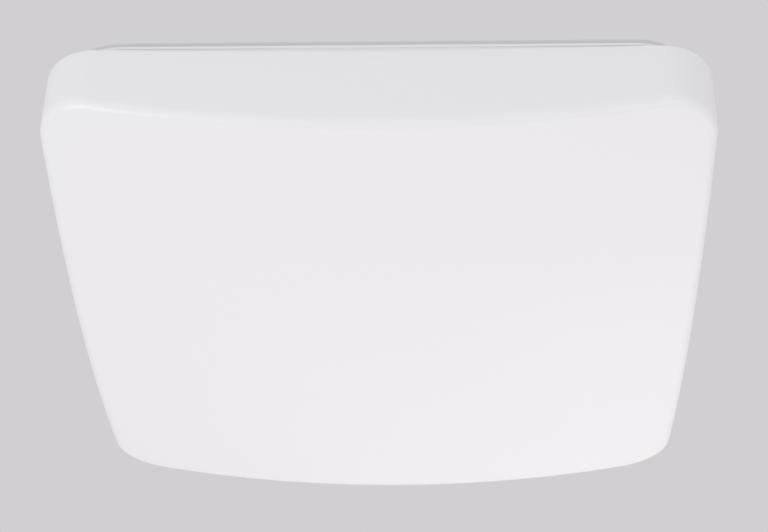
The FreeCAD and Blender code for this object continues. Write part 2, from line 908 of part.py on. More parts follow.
# ---------------------------------------------------------------- boards, sources and lenses

def led_board(document, d, number, row):
    """Build one metal-core board with its screw holes."""
    body = new_body(document, f"led_board_{number}")
    half_x, half_y = d.board_length / 2, d.board_width / 2
    extrude(
        body, "XY", lambda s: draw_rounded_box(s, (0, 0), half_x, half_y, d.board_corner),
        d.board_face, d.floor,
    )

    def holes(sketch):
        for offset in board_screw_spots(d):
            draw_circle(sketch, (offset, Size(0)), d.screw_hole)

    extrude(body, "XY", holes, d.board_face, d.floor, cut=True)
    return put(body, y=row)


def led_sources(document, d, number, row):
    """Build one board's row of light sources."""
    body = new_body(document, f"leds_{number}")
    half_x, half_y = d.source_length / 2, d.source_width / 2
    extrude(
        body, "XY", lambda s: draw_box(s, (-half_x, -half_y), (half_x, half_y)),
        d.board_face - d.source_height, d.board_face,
    )
    repeat_along(body, "X", d.lens_pitch, d.sources)
    return put(body, x=d.first_source_x, y=row)


def led_lenses(document, d, number, row):
    """Build one board's row of domed lenses, each with a hollow over its source."""
    body = new_body(document, f"lenses_{number}")
    base = d.board_face
    tip = base - d.lens_height
    bow = (d.lens_radius * d.lens_radius + d.lens_height * d.lens_height) / (d.lens_height * 2)

    def section(sketch):
        draw_path(
            sketch,
            [
                (d.lens_cavity_radius, base),
                (d.lens_cavity_radius, base - d.lens_cavity_height),
                (Size(0), base - d.lens_cavity_height),
                (Size(0), tip),
                (d.lens_radius, base, Size(0), tip + bow, "x", "ccw"),
            ],
        )

    revolve(body, section)
    repeat_along(body, "X", d.lens_pitch, d.sources)
    return put(body, x=d.first_source_x, y=row)


def board_sockets(document, d):
    """Build the connectors at the boards' ends, where the leads plug in."""
    body = new_body(document, "board_sockets")
    near, middle_near, middle_far, far = board_rows(d)
    ends = [(-1, middle_near), (-1, middle_far), (1, middle_near), (1, middle_far)]
    ends += [(1, near), (1, far)]

    def boxes(sketch):
        for side, row in ends:
            outer = d.socket_outer * side
            inner = (d.socket_outer - d.socket_length) * side
            low_x, high_x = (inner, outer) if side > 0 else (outer, inner)
            half = d.socket_width / 2
            draw_box(sketch, (low_x, row - half), (high_x, row + half))

    extrude(body, "XY", boxes, d.board_face - d.socket_height, d.board_face)
    return body


# ---------------------------------------------------------------- the driver

def driver_case(document, d):
    """Build the driver's tray with ears on its long sides, board posts and windows for sockets."""
    body = new_body(document, "driver_case")
    half_x, half_y = d.driver_length / 2, d.driver_width / 2
    wall = d.driver_wall
    extrude(
        body, "XY", lambda s: draw_rounded_box(s, (0, 0), half_x, half_y, d.driver_corner),
        d.driver_rim, d.floor,
    )
    inner_corner = d.driver_corner - wall
    extrude(
        body, "XY",
        lambda s: draw_rounded_box(s, (0, 0), half_x - wall, half_y - wall, inner_corner),
        d.driver_rim, d.floor - wall, cut=True,
    )
    reach = half_y + d.driver_ear
    ear = d.driver_ear_width / 2

    def ears(sketch):
        draw_box(sketch, (-ear, half_y - wall), (ear, reach))
        draw_box(sketch, (-ear, -reach), (ear, wall - half_y))

    extrude(body, "XY", ears, d.floor - wall, d.floor)

    def holes(sketch):
        for side in (-1, 1):
            spot = (Size(0), (half_y + d.driver_ear / 2) * side)
            draw_circle(sketch, spot, d.screw_hole)

    extrude(body, "XY", holes, d.floor - wall, d.floor, cut=True)
    post_x = half_x - wall - d.driver_post_radius * 2
    post_y = half_y - wall - d.driver_post_radius * 2

    def posts(sketch):
        for side_x in (-1, 1):
            for side_y in (-1, 1):
                draw_circle(sketch, (post_x * side_x, post_y * side_y), d.driver_post_radius)

    extrude(body, "XY", posts, d.driver_board_top, d.floor - wall)
    window = d.driver_socket_width / 2 + d.piece_clearance

    def windows(sketch):
        top = d.driver_board_face
        low = top - d.driver_socket_height - d.piece_clearance
        draw_box(sketch, (-window, low), (window, top + d.piece_clearance))

    extrude(body, "YZ", windows, -half_x, half_x, cut=True)
    return put(body, x=d.driver_centre_x)


def driver_lid(document, d):
    """Build the driver's lid with the lip that drops inside the tray."""
    body = new_body(document, "driver_lid")
    half_x, half_y = d.driver_length / 2, d.driver_width / 2
    low = d.driver_rim - d.driver_lid_plate
    extrude(
        body, "XY", lambda s: draw_rounded_box(s, (0, 0), half_x, half_y, d.driver_corner),
        low, d.driver_rim,
    )
    round_edges(body, level_edge(low), d.driver_lid_plate / 2)
    inset = d.driver_wall + d.piece_clearance
    lip_x, lip_y = half_x - inset, half_y - inset
    wall = d.driver_wall

    def lip(sketch):
        draw_rounded_box(sketch, (0, 0), lip_x, lip_y, d.driver_corner)
        inner_corner = d.driver_corner - wall
        draw_rounded_box(sketch, (0, 0), lip_x - wall, lip_y - wall, inner_corner)

    socket_top = d.driver_socket_middle - d.driver_socket_height / 2
    spare = (socket_top - d.driver_rim) / 2
    extrude(body, "XY", lip, d.driver_rim, d.driver_rim + spare)
    return put(body, x=d.driver_centre_x)


def driver_board(document, d):
    """Build the driver's circuit board."""
    body = new_body(document, "driver_board")
    margin = d.driver_wall + d.driver_board_margin
    half_x, half_y = d.driver_length / 2 - margin, d.driver_width / 2 - margin
    extrude(
        body, "XY", lambda s: draw_box(s, (-half_x, -half_y), (half_x, half_y)),
        d.driver_board_face, d.driver_board_top,
    )
    return put(body, x=d.driver_centre_x)


def driver_transformer(document, d):
    """Build the transformer: a core round a taped winding, drawn as one stepped block."""
    body = new_body(document, "driver_transformer")
    low = d.driver_board_face - d.transformer_height
    step = d.transformer_step
    half_x, half_y = d.transformer_length / 2, d.transformer_width / 2
    core_x, core_y = half_x + step, d.transformer_core / 2
    extrude(
        body, "XY", lambda s: draw_rounded_box(s, (0, 0), half_x, half_y, step),
        low + step, d.driver_board_face,
    )
    extrude(
        body, "XY", lambda s: draw_box(s, (-core_x, -core_y), (core_x, core_y)),
        low, d.driver_board_face - step,
    )
    return put(body, x=d.driver_centre_x + d.transformer_x, y=d.transformer_y)


def driver_choke(document, d):
    """Build the ring-shaped choke that lies flat on the board."""
    body = new_body(document, "driver_choke")

    def rings(sketch):
        draw_circle(sketch, (Size(0), Size(0)), d.choke_radius)
        draw_circle(sketch, (Size(0), Size(0)), d.choke_bore)

    low = d.driver_board_face - d.choke_height
    extrude(body, "XY", rings, low, d.driver_board_face)
    round_edges(body, level_edge(low), d.choke_round)
    return put(body, x=d.driver_centre_x + d.choke_x, y=d.choke_y)


def driver_capacitors(document, d):
    """Build the round capacitors, standing on the board."""
    body = new_body(document, "driver_capacitors")
    first_x, radius = d.output_capacitor_x, d.output_capacitor_radius
    second_x = first_x - radius * 2 - d.output_capacitor_gap

    def input_side(sketch):
        spot = (d.input_capacitor_x, d.input_capacitor_y)
        draw_circle(sketch, spot, d.input_capacitor_radius)

    def output_side(sketch):
        draw_circle(sketch, (first_x, d.output_capacitor_y), radius)
        draw_circle(sketch, (second_x, d.output_capacitor_y), radius)

    base = d.driver_board_face
    extrude(body, "XY", input_side, base - d.input_capacitor_height, base)
    extrude(body, "XY", output_side, base - d.output_capacitor_height, base)
    return put(body, x=d.driver_centre_x)


def driver_chips(document, d):
    """Build the small flat parts on the board: the controller, the bridge and the resistors."""
    body = new_body(document, "driver_chips")

    def boxes(sketch):
        for x, y, length, width in CHIPS:
            low = (Size(x - length / 2), Size(y - width / 2))
            draw_box(sketch, low, (Size(x + length / 2), Size(y + width / 2)))

    extrude(body, "XY", boxes, d.driver_board_face - d.chip_height, d.driver_board_face)
    return put(body, x=d.driver_centre_x)


def driver_sockets(document, d):
    """Build the driver's input and output connectors, flush with the tray's ends."""
    body = new_body(document, "driver_sockets")
    half_x, half_y = d.driver_length / 2, d.driver_socket_width / 2

    def boxes(sketch):
        inner = half_x - d.driver_socket_length
        draw_box(sketch, (-half_x, -half_y), (-inner, half_y))
        draw_box(sketch, (inner, -half_y), (half_x, half_y))

    extrude(
        body, "XY", boxes, d.driver_board_face - d.driver_socket_height, d.driver_board_face
    )
    return put(body, x=d.driver_centre_x)


# ---------------------------------------------------------------- the terminal block

def poles(d):
    """Return each pole's name with its offset from the block's middle."""
    return (("live", -d.pole_pitch), ("neutral", Size(0)), ("earth", d.pole_pitch))


def terminal_housing(document, d):
    """Build the block's body with lever recesses, pivot holes, wire holes and contact chambers."""
    body = new_body(document, "terminal_housing")
    half_x, half_y = d.block_width / 2, d.block_length / 2
    extrude(
        body, "XY", lambda s: draw_rounded_box(s, (0, 0), half_x, half_y, d.block_corner),
        d.block_face, d.floor,
    )
    ear_end, ear_half = half_x + d.block_ear, d.block_ear_width / 2
    ear_root = half_x - d.block_corner

    def ears(sketch):
        draw_box(sketch, (-ear_end, -ear_half), (-ear_root, ear_half))
        draw_box(sketch, (ear_root, -ear_half), (ear_end, ear_half))

    extrude(body, "XY", ears, d.floor - d.driver_wall, d.floor)

    def ear_holes(sketch):
        for side in (-1, 1):
            spot = ((half_x + d.block_ear / 2) * side, Size(0))
            draw_circle(sketch, spot, d.screw_hole)

    extrude(body, "XY", ear_holes, d.floor - d.driver_wall, d.floor, cut=True)
    recess = d.recess_width / 2
    start = -half_y + d.block_end_wall
    end = d.lever_pivot_y + d.lever_length + d.piece_clearance
    chamber = contact_chamber(d)

    def recesses(sketch):
        for _, offset in poles(d):
            draw_box(sketch, (offset - recess, start), (offset + recess, end))

    extrude(body, "XY", recesses, d.block_face, chamber.recess_top, cut=True)
    for _, offset in poles(d):
        reach = recess + d.lever_pin_reach + d.lever_pin_clearance
        extrude(
            body, "YZ",
            lambda s: draw_circle(
                s, (d.lever_pivot_y, d.lever_pivot_z), d.lever_pin_radius + d.lever_pin_clearance
            ),
            offset - reach, offset + reach, cut=True,
        )

    def chambers(sketch):
        for _, offset in poles(d):
            draw_box(
                sketch, (offset - chamber.half_x, -chamber.half_y),
                (offset + chamber.half_x, chamber.half_y),
            )

    extrude(body, "XY", chambers, chamber.low, d.floor, cut=True)

    def wire_holes(radius):
        def draw(sketch):
            for _, offset in poles(d):
                draw_circle(sketch, (offset, d.wire_level), radius)

        return draw

    # both rows of holes run into the chambers
    inner = chamber.half_y - d.contact_leaf
    extrude(body, "XZ", wire_holes(d.mains_wire_hole), -half_y, -inner, cut=True)
    lead_hole = d.mains_lead_radius + d.lead_clip_gap
    extrude(body, "XZ", wire_holes(lead_hole), inner, half_y, cut=True)
    return put(body, x=d.block_centre_x)


def contact_chamber(d):
    """Return the sizes of a lever's recess and of the chamber with its pole's bar and spring."""
    chamber = types.SimpleNamespace()
    chamber.half_x = d.lever_width / 2 - d.piece_clearance
    chamber.half_y = d.block_length / 2 - d.block_end_wall
    recess_depth = d.lever_barrel * 2 + d.lever_side_gap / 2 + d.piece_clearance
    chamber.recess_top = d.block_face + recess_depth
    chamber.low = chamber.recess_top + d.chamber_roof
    return chamber


def terminal_busbars(document, d):
    """Build the three contact bars in their chambers."""
    body = new_body(document, "terminal_busbars")
    chamber = contact_chamber(d)
    half_x = chamber.half_x - d.piece_clearance
    half_y = chamber.half_y - d.piece_clearance
    low = d.wire_level + d.mains_wire_hole

    def boxes(sketch):
        for _, offset in poles(d):
            draw_box(sketch, (offset - half_x, -half_y), (offset + half_x, half_y))

    extrude(body, "XY", boxes, low, low + d.contact_bar)
    return put(body, x=d.block_centre_x)


def terminal_springs(document, d):
    """Build the three bent springs that press the wires on the bars."""
    body = new_body(document, "terminal_springs")
    chamber = contact_chamber(d)
    half_x = chamber.half_x - d.piece_clearance
    low = chamber.low + d.piece_clearance
    leaf = d.contact_leaf
    reach = chamber.half_y - d.piece_clearance * 2
    bar = d.wire_level + d.mains_wire_hole

    def section(sketch):
        draw_path(
            sketch,
            [
                (-reach, low),
                (reach, low),
                (reach, low + leaf),
                (-reach + leaf * 4, low + leaf),
                (-reach + leaf * 12, bar),
                (-reach + leaf * 11, bar),
                (-reach, low + leaf),
            ],
        )

    for _, offset in poles(d):
        extrude(body, "YZ", section, offset - half_x, offset + half_x)
    return put(body, x=d.block_centre_x)


def terminal_lever(document, d, name, offset):
    """Build one lever: a barrel with two stub pins, a flat arm and a lip for the finger."""
    body = new_body(document, f"terminal_lever_{name}")
    half = d.lever_width / 2
    y, z = d.lever_pivot_y, d.lever_pivot_z
    reach = d.recess_width / 2 + d.lever_pin_reach
    extrude(body, "YZ", lambda s: draw_circle(s, (y, z), d.lever_barrel), -half, half)
    extrude(body, "YZ", lambda s: draw_circle(s, (y, z), d.lever_pin_radius), -reach, reach)
    end = y + d.lever_length
    low = z - d.lever_barrel

    def arm(sketch):
        draw_path(
            sketch,
            [
                (y, low),
                (end - d.lever_grip * 2, low),
                (end - d.lever_grip, low - d.lever_grip),
                (end, low - d.lever_grip),
                (end, z + d.lever_web),
                (y, z + d.lever_web),
            ],
        )

    extrude(body, "YZ", arm, -half, half)
    return put(body, x=d.block_centre_x + offset)


# ---------------------------------------------------------------- cable clamp and earth bond

def cable_clamp(document, d):
    """Build the strap that holds the installer's cable to the pan."""
    body = new_body(document, "cable_clamp")
    inner, outer = d.entry_bore, d.clamp_outer
    foot = outer + d.clamp_foot
    arch = d.floor - d.cable_height

    def section(sketch):
        draw_path(
            sketch,
            [
                (-foot, d.floor),
                (-foot, d.floor - d.clamp_strap),
                (-outer, d.floor - d.clamp_strap),
                (-outer, arch - d.clamp_strap),
                (outer, arch - d.clamp_strap),
                (outer, d.floor - d.clamp_strap),
                (foot, d.floor - d.clamp_strap),
                (foot, d.floor),
                (inner, d.floor),
                (inner, arch),
                (-inner, arch),
                (-inner, d.floor),
            ],
        )

    half = d.clamp_length / 2
    extrude(body, "YZ", section, -half, half)

    def holes(sketch):
        for side in (-1, 1):
            draw_circle(sketch, (Size(0), (outer + d.clamp_foot / 2) * side), d.screw_hole)

    extrude(body, "XY", holes, d.floor - d.clamp_strap, d.floor, cut=True)
    level = arch - d.clamp_strap

    def shoulder(edge):
        along = len(edge.Vertexes) == 2 and abs(edge.Length - d.clamp_length.value) < SAME_PLACE
        return along and level_edge(level)(edge)

    round_edges(body, shoulder, d.clamp_strap)
    return put(body, x=d.clamp_centre_x, y=d.clamp_centre_y)


def earth_ring(document, d):
    """Build the crimped ring of the earth lead: a flat ring, a neck and a barrel."""
    body = new_body(document, "earth_ring")
    sheet = d.earth_ring_sheet
    hole = d.earth_screw_radius + d.screw_hole_clearance
    extrude(
        body, "XY", lambda s: draw_circle(s, (Size(0), Size(0)), d.earth_ring_radius),
        d.floor - sheet, d.floor,
    )
    neck = d.earth_barrel_radius - d.lead_clip_gap
    extrude(
        body, "XY",
        lambda s: draw_box(s, (-neck, Size(0)), (neck, d.earth_barrel_start + sheet)),
        d.floor - sheet, d.floor,
    )
    middle = d.floor - d.earth_barrel_radius - d.lead_clip_gap
    extrude(
        body, "XZ", lambda s: draw_circle(s, (Size(0), middle), d.earth_barrel_radius),
        d.earth_barrel_start, d.earth_barrel_end,
    )
    extrude(
        body, "XY", lambda s: draw_circle(s, (Size(0), Size(0)), hole), d.floor - sheet, d.floor,
        cut=True,
    )
    return put(body, x=d.earth_screw_x)


def earth_washer(document, d):
    """Build the washer under the earth screw's head."""
    body = new_body(document, "earth_washer")
    seat = d.floor - d.earth_ring_sheet

    def rings(sketch):
        draw_circle(sketch, (Size(0), Size(0)), d.earth_ring_radius)
        hole = d.earth_screw_radius + d.screw_hole_clearance
        draw_circle(sketch, (Size(0), Size(0)), hole)

    extrude(body, "XY", rings, seat - d.earth_washer_sheet, seat)
    return put(body, x=d.earth_screw_x)


def earth_screw(document, d):
    """Build the screw that bonds the earth ring to the pan."""
    seat = d.floor - d.earth_ring_sheet - d.earth_washer_sheet
    spots = [(d.earth_screw_x, Size(0))]
    return shanks_and_heads(
        document, "earth_screw", spots, seat, d.screw_top, d.earth_screw_radius,
        d.earth_head_radius, d.earth_head_height,
    )


# ---------------------------------------------------------------- leads

def lead_path(points):
    """Join points by straight runs and tangent arcs, as large as each pair of runs allows."""
    edges = []
    start = points[0]
    radii = []
    for before, corner, after in zip(points, points[1:], points[2:]):
        to_corner, from_corner = corner - before, after - corner
        turn = to_corner.getAngle(from_corner)
        cut = BEND_SHARE * min(to_corner.Length, from_corner.Length)
        radii.append(cut / math.tan(turn / 2))
        first = corner - to_corner.normalize() * cut
        last = corner + from_corner.normalize() * cut
        inward = (first + last) * 0.5 - corner
        bisector = Vector(inward).normalize()
        to_centre = math.hypot(radii[-1], cut)
        middle = corner + bisector * (to_centre - radii[-1])
        edges.append(Part.LineSegment(start, first).toShape())
        edges.append(Part.Arc(first, middle, last).toShape())
        start = last
    edges.append(Part.LineSegment(start, points[-1]).toShape())
    return Part.Wire(edges), radii


def lead(document, label, points, radius):
    """Build a lead as a round tube along its path, and compare its volume with its length."""
    vectors = [Vector(*[Size.of(number).value for number in point]) for point in points]
    path, radii = lead_path(vectors)
    along = vectors[1] - vectors[0]
    ring = Part.Wire([Part.makeCircle(radius.value, vectors[0], along)])
    tube = path.makePipeShell([ring], True, False)
    wanted = math.pi * radius.value**2 * path.Length
    if abs(tube.Volume - wanted) > 0.01 * wanted:
        raise RuntimeError(f"{label}: the tube's volume is {tube.Volume}, not {wanted}")
    print(label, "radii", [round(item, 1) for item in radii])
    feature = document.addObject("Part::Feature", label)
    feature.Label = label
    feature.Shape = tube
    return feature


def mains_leads(document, d):
    """Build the leads from the terminal block to the driver and to the earth ring."""
    half = d.block_length / 2
    start_z = d.wire_level
    end_z = d.driver_socket_middle
    low_z = d.floor - d.mains_lead_drop
    end_x = d.driver_high_x
    spread = d.driver_lead_spread
    # each lead's start, the row of its run, where it leaves that row and where it meets the driver
    routes = (
        ("live_lead", -d.pole_pitch, half + d.live_run, d.live_leave, d.live_reach, -spread),
        ("neutral_lead", Size(0), half + d.neutral_run, d.neutral_leave, d.neutral_reach, spread),
    )
    made = []
    for label, offset, row, leave, reach, entry in routes:
        start_x = d.block_centre_x + offset
        made.append(
            lead(
                document, label,
                [
                    (start_x, half, start_z),
                    (start_x, row, start_z),
                    (end_x + leave, row, low_z),
                    (end_x + reach, entry, end_z),
                    (end_x, entry, end_z),
                ],
                d.mains_lead_radius,
            )
        )
    start_x = d.block_centre_x + d.pole_pitch
    row = half + d.earth_run
    barrel_z = d.floor - d.earth_barrel_radius - d.lead_clip_gap
    made.append(
        lead(
            document, "earth_lead",
            [
                (start_x, half, start_z),
                (start_x, row, start_z),
                (d.earth_screw_x, row, barrel_z),
                (d.earth_screw_x, d.earth_barrel_end, barrel_z),
            ],
            d.mains_lead_radius,
        )
    )
    return made


def board_leads(document, d):
    """Build the leads from the driver to the inner boards and from those to the outer boards."""
    made = []
    line = lead_line_x(d)
    low_z = d.socket_middle
    for name, side in (("near", -1), ("far", 1)):
        start = (d.driver_low_x, d.driver_lead_spread * side, d.driver_socket_middle)
        inner_row, outer_row = d.board_inner_row * side, d.board_outer_row * side
        made.append(
            lead(
                document, f"led_lead_{name}",
                [
                    start,
                    (-line, d.driver_lead_spread * side, d.driver_socket_middle),
                    (-line, (d.led_clip_y - d.lead_clip_length * 2) * side, low_z),
                    (-line, inner_row, low_z),
                    (-d.socket_outer, inner_row, low_z),
                ],
                d.led_lead_radius,
            )
        )
        made.append(
            lead(
                document, f"link_lead_{name}",
                [
                    (d.socket_outer, inner_row, low_z),
                    (line, inner_row, low_z),
                    (line, outer_row, low_z),
                    (d.socket_outer, outer_row, low_z),
                ],
                d.led_lead_radius,
            )
        )
    return made


def lead_clips(document, d):
    """Build the small blocks, stuck to the pan, that the board leads pass through."""
    body = new_body(document, "lead_clips")
    half_x, half_y = d.lead_clip_width / 2, d.lead_clip_length / 2
    hole = d.led_lead_radius + d.lead_clip_gap
    low = d.socket_middle - hole - d.lead_clip_wall

    def boxes(sketch):
        for x, y in lead_clip_spots(d):
            draw_box(sketch, (x - half_x, y - half_y), (x + half_x, y + half_y))

    extrude(body, "XY", boxes, low, d.floor)
    line = lead_line_x(d)

    def holes(sketch):
        for side in (-1, 1):
            draw_circle(sketch, (line * side, d.socket_middle), hole)

    reach = d.board_outer_row
    extrude(body, "XZ", holes, -reach, reach, cut=True)
    return body


# ---------------------------------------------------------------- assembly

def build_pieces(document, d):
    """Build every piece and return those that are written out."""
    pieces = [
        base_pan(document, d),
        rim_gasket(document, d),
        diffuser(document, d),
        cable_grommet(document, d),
    ]
    pieces += [spring_clip(document, d, name, turn) for name, turn in CLIP_TURNS]
    pieces.append(clip_rivets(document, d))
    for number, row in enumerate(board_rows(d), start=1):
        pieces.append(led_board(document, d, number, row))
        pieces.append(led_sources(document, d, number, row))
        pieces.append(led_lenses(document, d, number, row))
    pieces += [board_sockets(document, d), board_screws(document, d)]
    pieces += [
        driver_case(document, d),
        driver_lid(document, d),
        driver_board(document, d),
        driver_transformer(document, d),
        driver_choke(document, d),
        driver_capacitors(document, d),
        driver_chips(document, d),
        driver_sockets(document, d),
        small_screws(
            document, d, "driver_screws", driver_screw_spots(d), d.floor - d.driver_wall
        ),
    ]
    pieces += [
        terminal_housing(document, d),
        terminal_busbars(document, d),
        terminal_springs(document, d),
        small_screws(
            document, d, "terminal_screws", block_screw_spots(d), d.floor - d.driver_wall
        ),
    ]
    pieces += [terminal_lever(document, d, name, offset) for name, offset in poles(d)]
    pieces += [
        cable_clamp(document, d),
        small_screws(document, d, "clamp_screws", clamp_screw_spots(d), d.floor - d.clamp_strap),
        earth_ring(document, d),
        earth_washer(document, d),
        earth_screw(document, d),
    ]
    pieces += mains_leads(document, d)
    pieces += board_leads(document, d)
    pieces.append(lead_clips(document, d))
    return pieces


def check_document(document, pieces):
    """Stop if any object failed to compute, or any piece is empty or not a valid solid."""
    for item in document.Objects:
        if {"Invalid", "Error"} & set(item.State):
            raise RuntimeError(f"{item.Label} did not compute: {item.State}")
    for piece in pieces:
        shape = piece.Shape
        if shape.isNull() or not shape.isValid() or not shape.Solids or shape.Volume <= 0:
            raise RuntimeError(f"{piece.Label} is not a valid solid")


def write_pieces(pieces):
    """Write each piece to its own file."""
    os.makedirs("parts", exist_ok=True)
    for piece in pieces:
        piece.Shape.exportStep(os.path.join("parts", f"{piece.Label}.step"))


def main():
    """Build the light and write its pieces."""
    document = FreeCAD.newDocument("flush_light")
    d = derive(make_sheet(document))
    pieces = build_pieces(document, d)
    document.recompute()
    check_document(document, pieces)
    write_pieces(pieces)
    for piece in pieces:
        print(piece.Label, len(piece.Shape.Solids), "solids", round(piece.Shape.Volume, 1), "mm3")


main()
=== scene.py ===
"""The looks of a square flush mount ceiling light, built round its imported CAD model.

The light hangs below the ceiling plane, which is z = 0.  All lengths are in metres.
"""

from __future__ import annotations

import json
import logging
import math
from dataclasses import dataclass, field
from enum import Enum
from typing import Callable, Union

import bmesh
import bpy
from mathutils import Matrix, Vector

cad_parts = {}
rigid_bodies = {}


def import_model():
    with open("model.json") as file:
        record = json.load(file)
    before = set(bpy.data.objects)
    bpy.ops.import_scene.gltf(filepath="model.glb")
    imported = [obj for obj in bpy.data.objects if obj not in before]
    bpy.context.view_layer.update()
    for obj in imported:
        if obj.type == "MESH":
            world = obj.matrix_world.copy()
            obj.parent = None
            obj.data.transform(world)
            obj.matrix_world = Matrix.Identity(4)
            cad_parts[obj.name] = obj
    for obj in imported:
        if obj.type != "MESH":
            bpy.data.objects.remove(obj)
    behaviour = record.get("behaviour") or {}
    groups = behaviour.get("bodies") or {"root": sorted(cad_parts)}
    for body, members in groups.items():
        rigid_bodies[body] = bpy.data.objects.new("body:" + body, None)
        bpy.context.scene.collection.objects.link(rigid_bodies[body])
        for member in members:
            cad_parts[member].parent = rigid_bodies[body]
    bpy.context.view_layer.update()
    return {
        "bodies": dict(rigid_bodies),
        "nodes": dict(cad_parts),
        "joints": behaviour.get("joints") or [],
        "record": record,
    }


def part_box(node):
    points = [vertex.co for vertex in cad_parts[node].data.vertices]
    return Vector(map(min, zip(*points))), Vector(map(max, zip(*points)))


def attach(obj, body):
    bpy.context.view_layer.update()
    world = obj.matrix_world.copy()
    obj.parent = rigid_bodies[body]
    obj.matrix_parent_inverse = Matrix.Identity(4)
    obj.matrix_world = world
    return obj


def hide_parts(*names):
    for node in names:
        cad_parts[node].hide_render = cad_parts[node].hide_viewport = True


LOG = logging.getLogger("flush_light")
MM = 0.001
NOISE_ROUGHNESS = 0.55
UNSTRETCHED = (1.0, 1.0, 1.0)

Number = Union[int, float]
Triple = tuple[float, float, float]
Colour = Triple
Ring = list[Vector]
# A point of an outline: its x and y, then the x and y of its outward direction.
EdgePoint = tuple[float, float, float, float]
# A rule that gives a height at x and y.
Level = Callable[[float, float], float]


class Body(Enum):
    """The rigid bodies that new pieces ride on."""

    SHADE = "shade"


class Slot(Enum):
    """The record's material slots that the new pieces and the CAD nodes take their finish from."""

    PAN = "pan_paint"
    OPAL = "opal"
    FOAM = "foam"
    BLACK_RUBBER = "black_rubber"
    SPRING = "spring_steel"
    ZINC = "zinc"
    RIVET = "rivet_metal"
    BOARD = "board_white"
    PHOSPHOR = "phosphor"
    LENS = "lens_clear"
    NYLON = "white_nylon"
    DRIVER = "driver_plastic"
    CIRCUIT = "circuit_green"
    DARK = "dark_part"
    TAPE = "winding_tape"
    BLOCK = "block_grey"
    LEVER = "lever_blue"
    BRASS = "contact_brass"
    BROWN = "lead_brown"
    BLUE = "lead_blue"
    GREEN = "lead_green"
    WHITE = "lead_white"


# ---------------------------------------------------------------- shader expressions


class Signal:
    """A socket of a node tree that can be used in Python arithmetic."""

    def __init__(self, graph: Graph, socket: bpy.types.NodeSocket) -> None:
        """Wrap one output socket of a graph."""
        self.graph = graph
        self.socket = socket

    def _math(self, operation: str, *terms: Union[Signal, Number]) -> Signal:
        """Add a Math node over the terms."""
        inputs = dict(enumerate(terms))
        return self.graph.add("ShaderNodeMath", {"operation": operation}, inputs)

    def __add__(self, other: Union[Signal, Number]) -> Signal:
        """Add."""
        return self._math("ADD", self, other)

    def __radd__(self, other: Number) -> Signal:
        """Add, reflected."""
        return self._math("ADD", other, self)

    def __sub__(self, other: Union[Signal, Number]) -> Signal:
        """Subtract."""
        return self._math("SUBTRACT", self, other)

    def __rsub__(self, other: Number) -> Signal:
        """Subtract, reflected."""
        return self._math("SUBTRACT", other, self)

    def __mul__(self, other: Union[Signal, Number]) -> Signal:
        """Multiply."""
        return self._math("MULTIPLY", self, other)

    def __rmul__(self, other: Number) -> Signal:
        """Multiply, reflected."""
        return self._math("MULTIPLY", other, self)

    def __mod__(self, other: Union[Signal, Number]) -> Signal:
        """Return the rest of a division, never negative."""
        return self._math("FLOORED_MODULO", self, other)

    def __gt__(self, other: Union[Signal, Number]) -> Signal:
        """Return 1 where this is greater."""
        return self._math("GREATER_THAN", self, other)

    def lesser(self, other: Union[Signal, Number]) -> Signal:
        """Return the smaller of two values."""
        return self._math("MINIMUM", self, other)

    def absolute(self) -> Signal:
        """Return the size without its sign."""
        return self._math("ABSOLUTE", self)


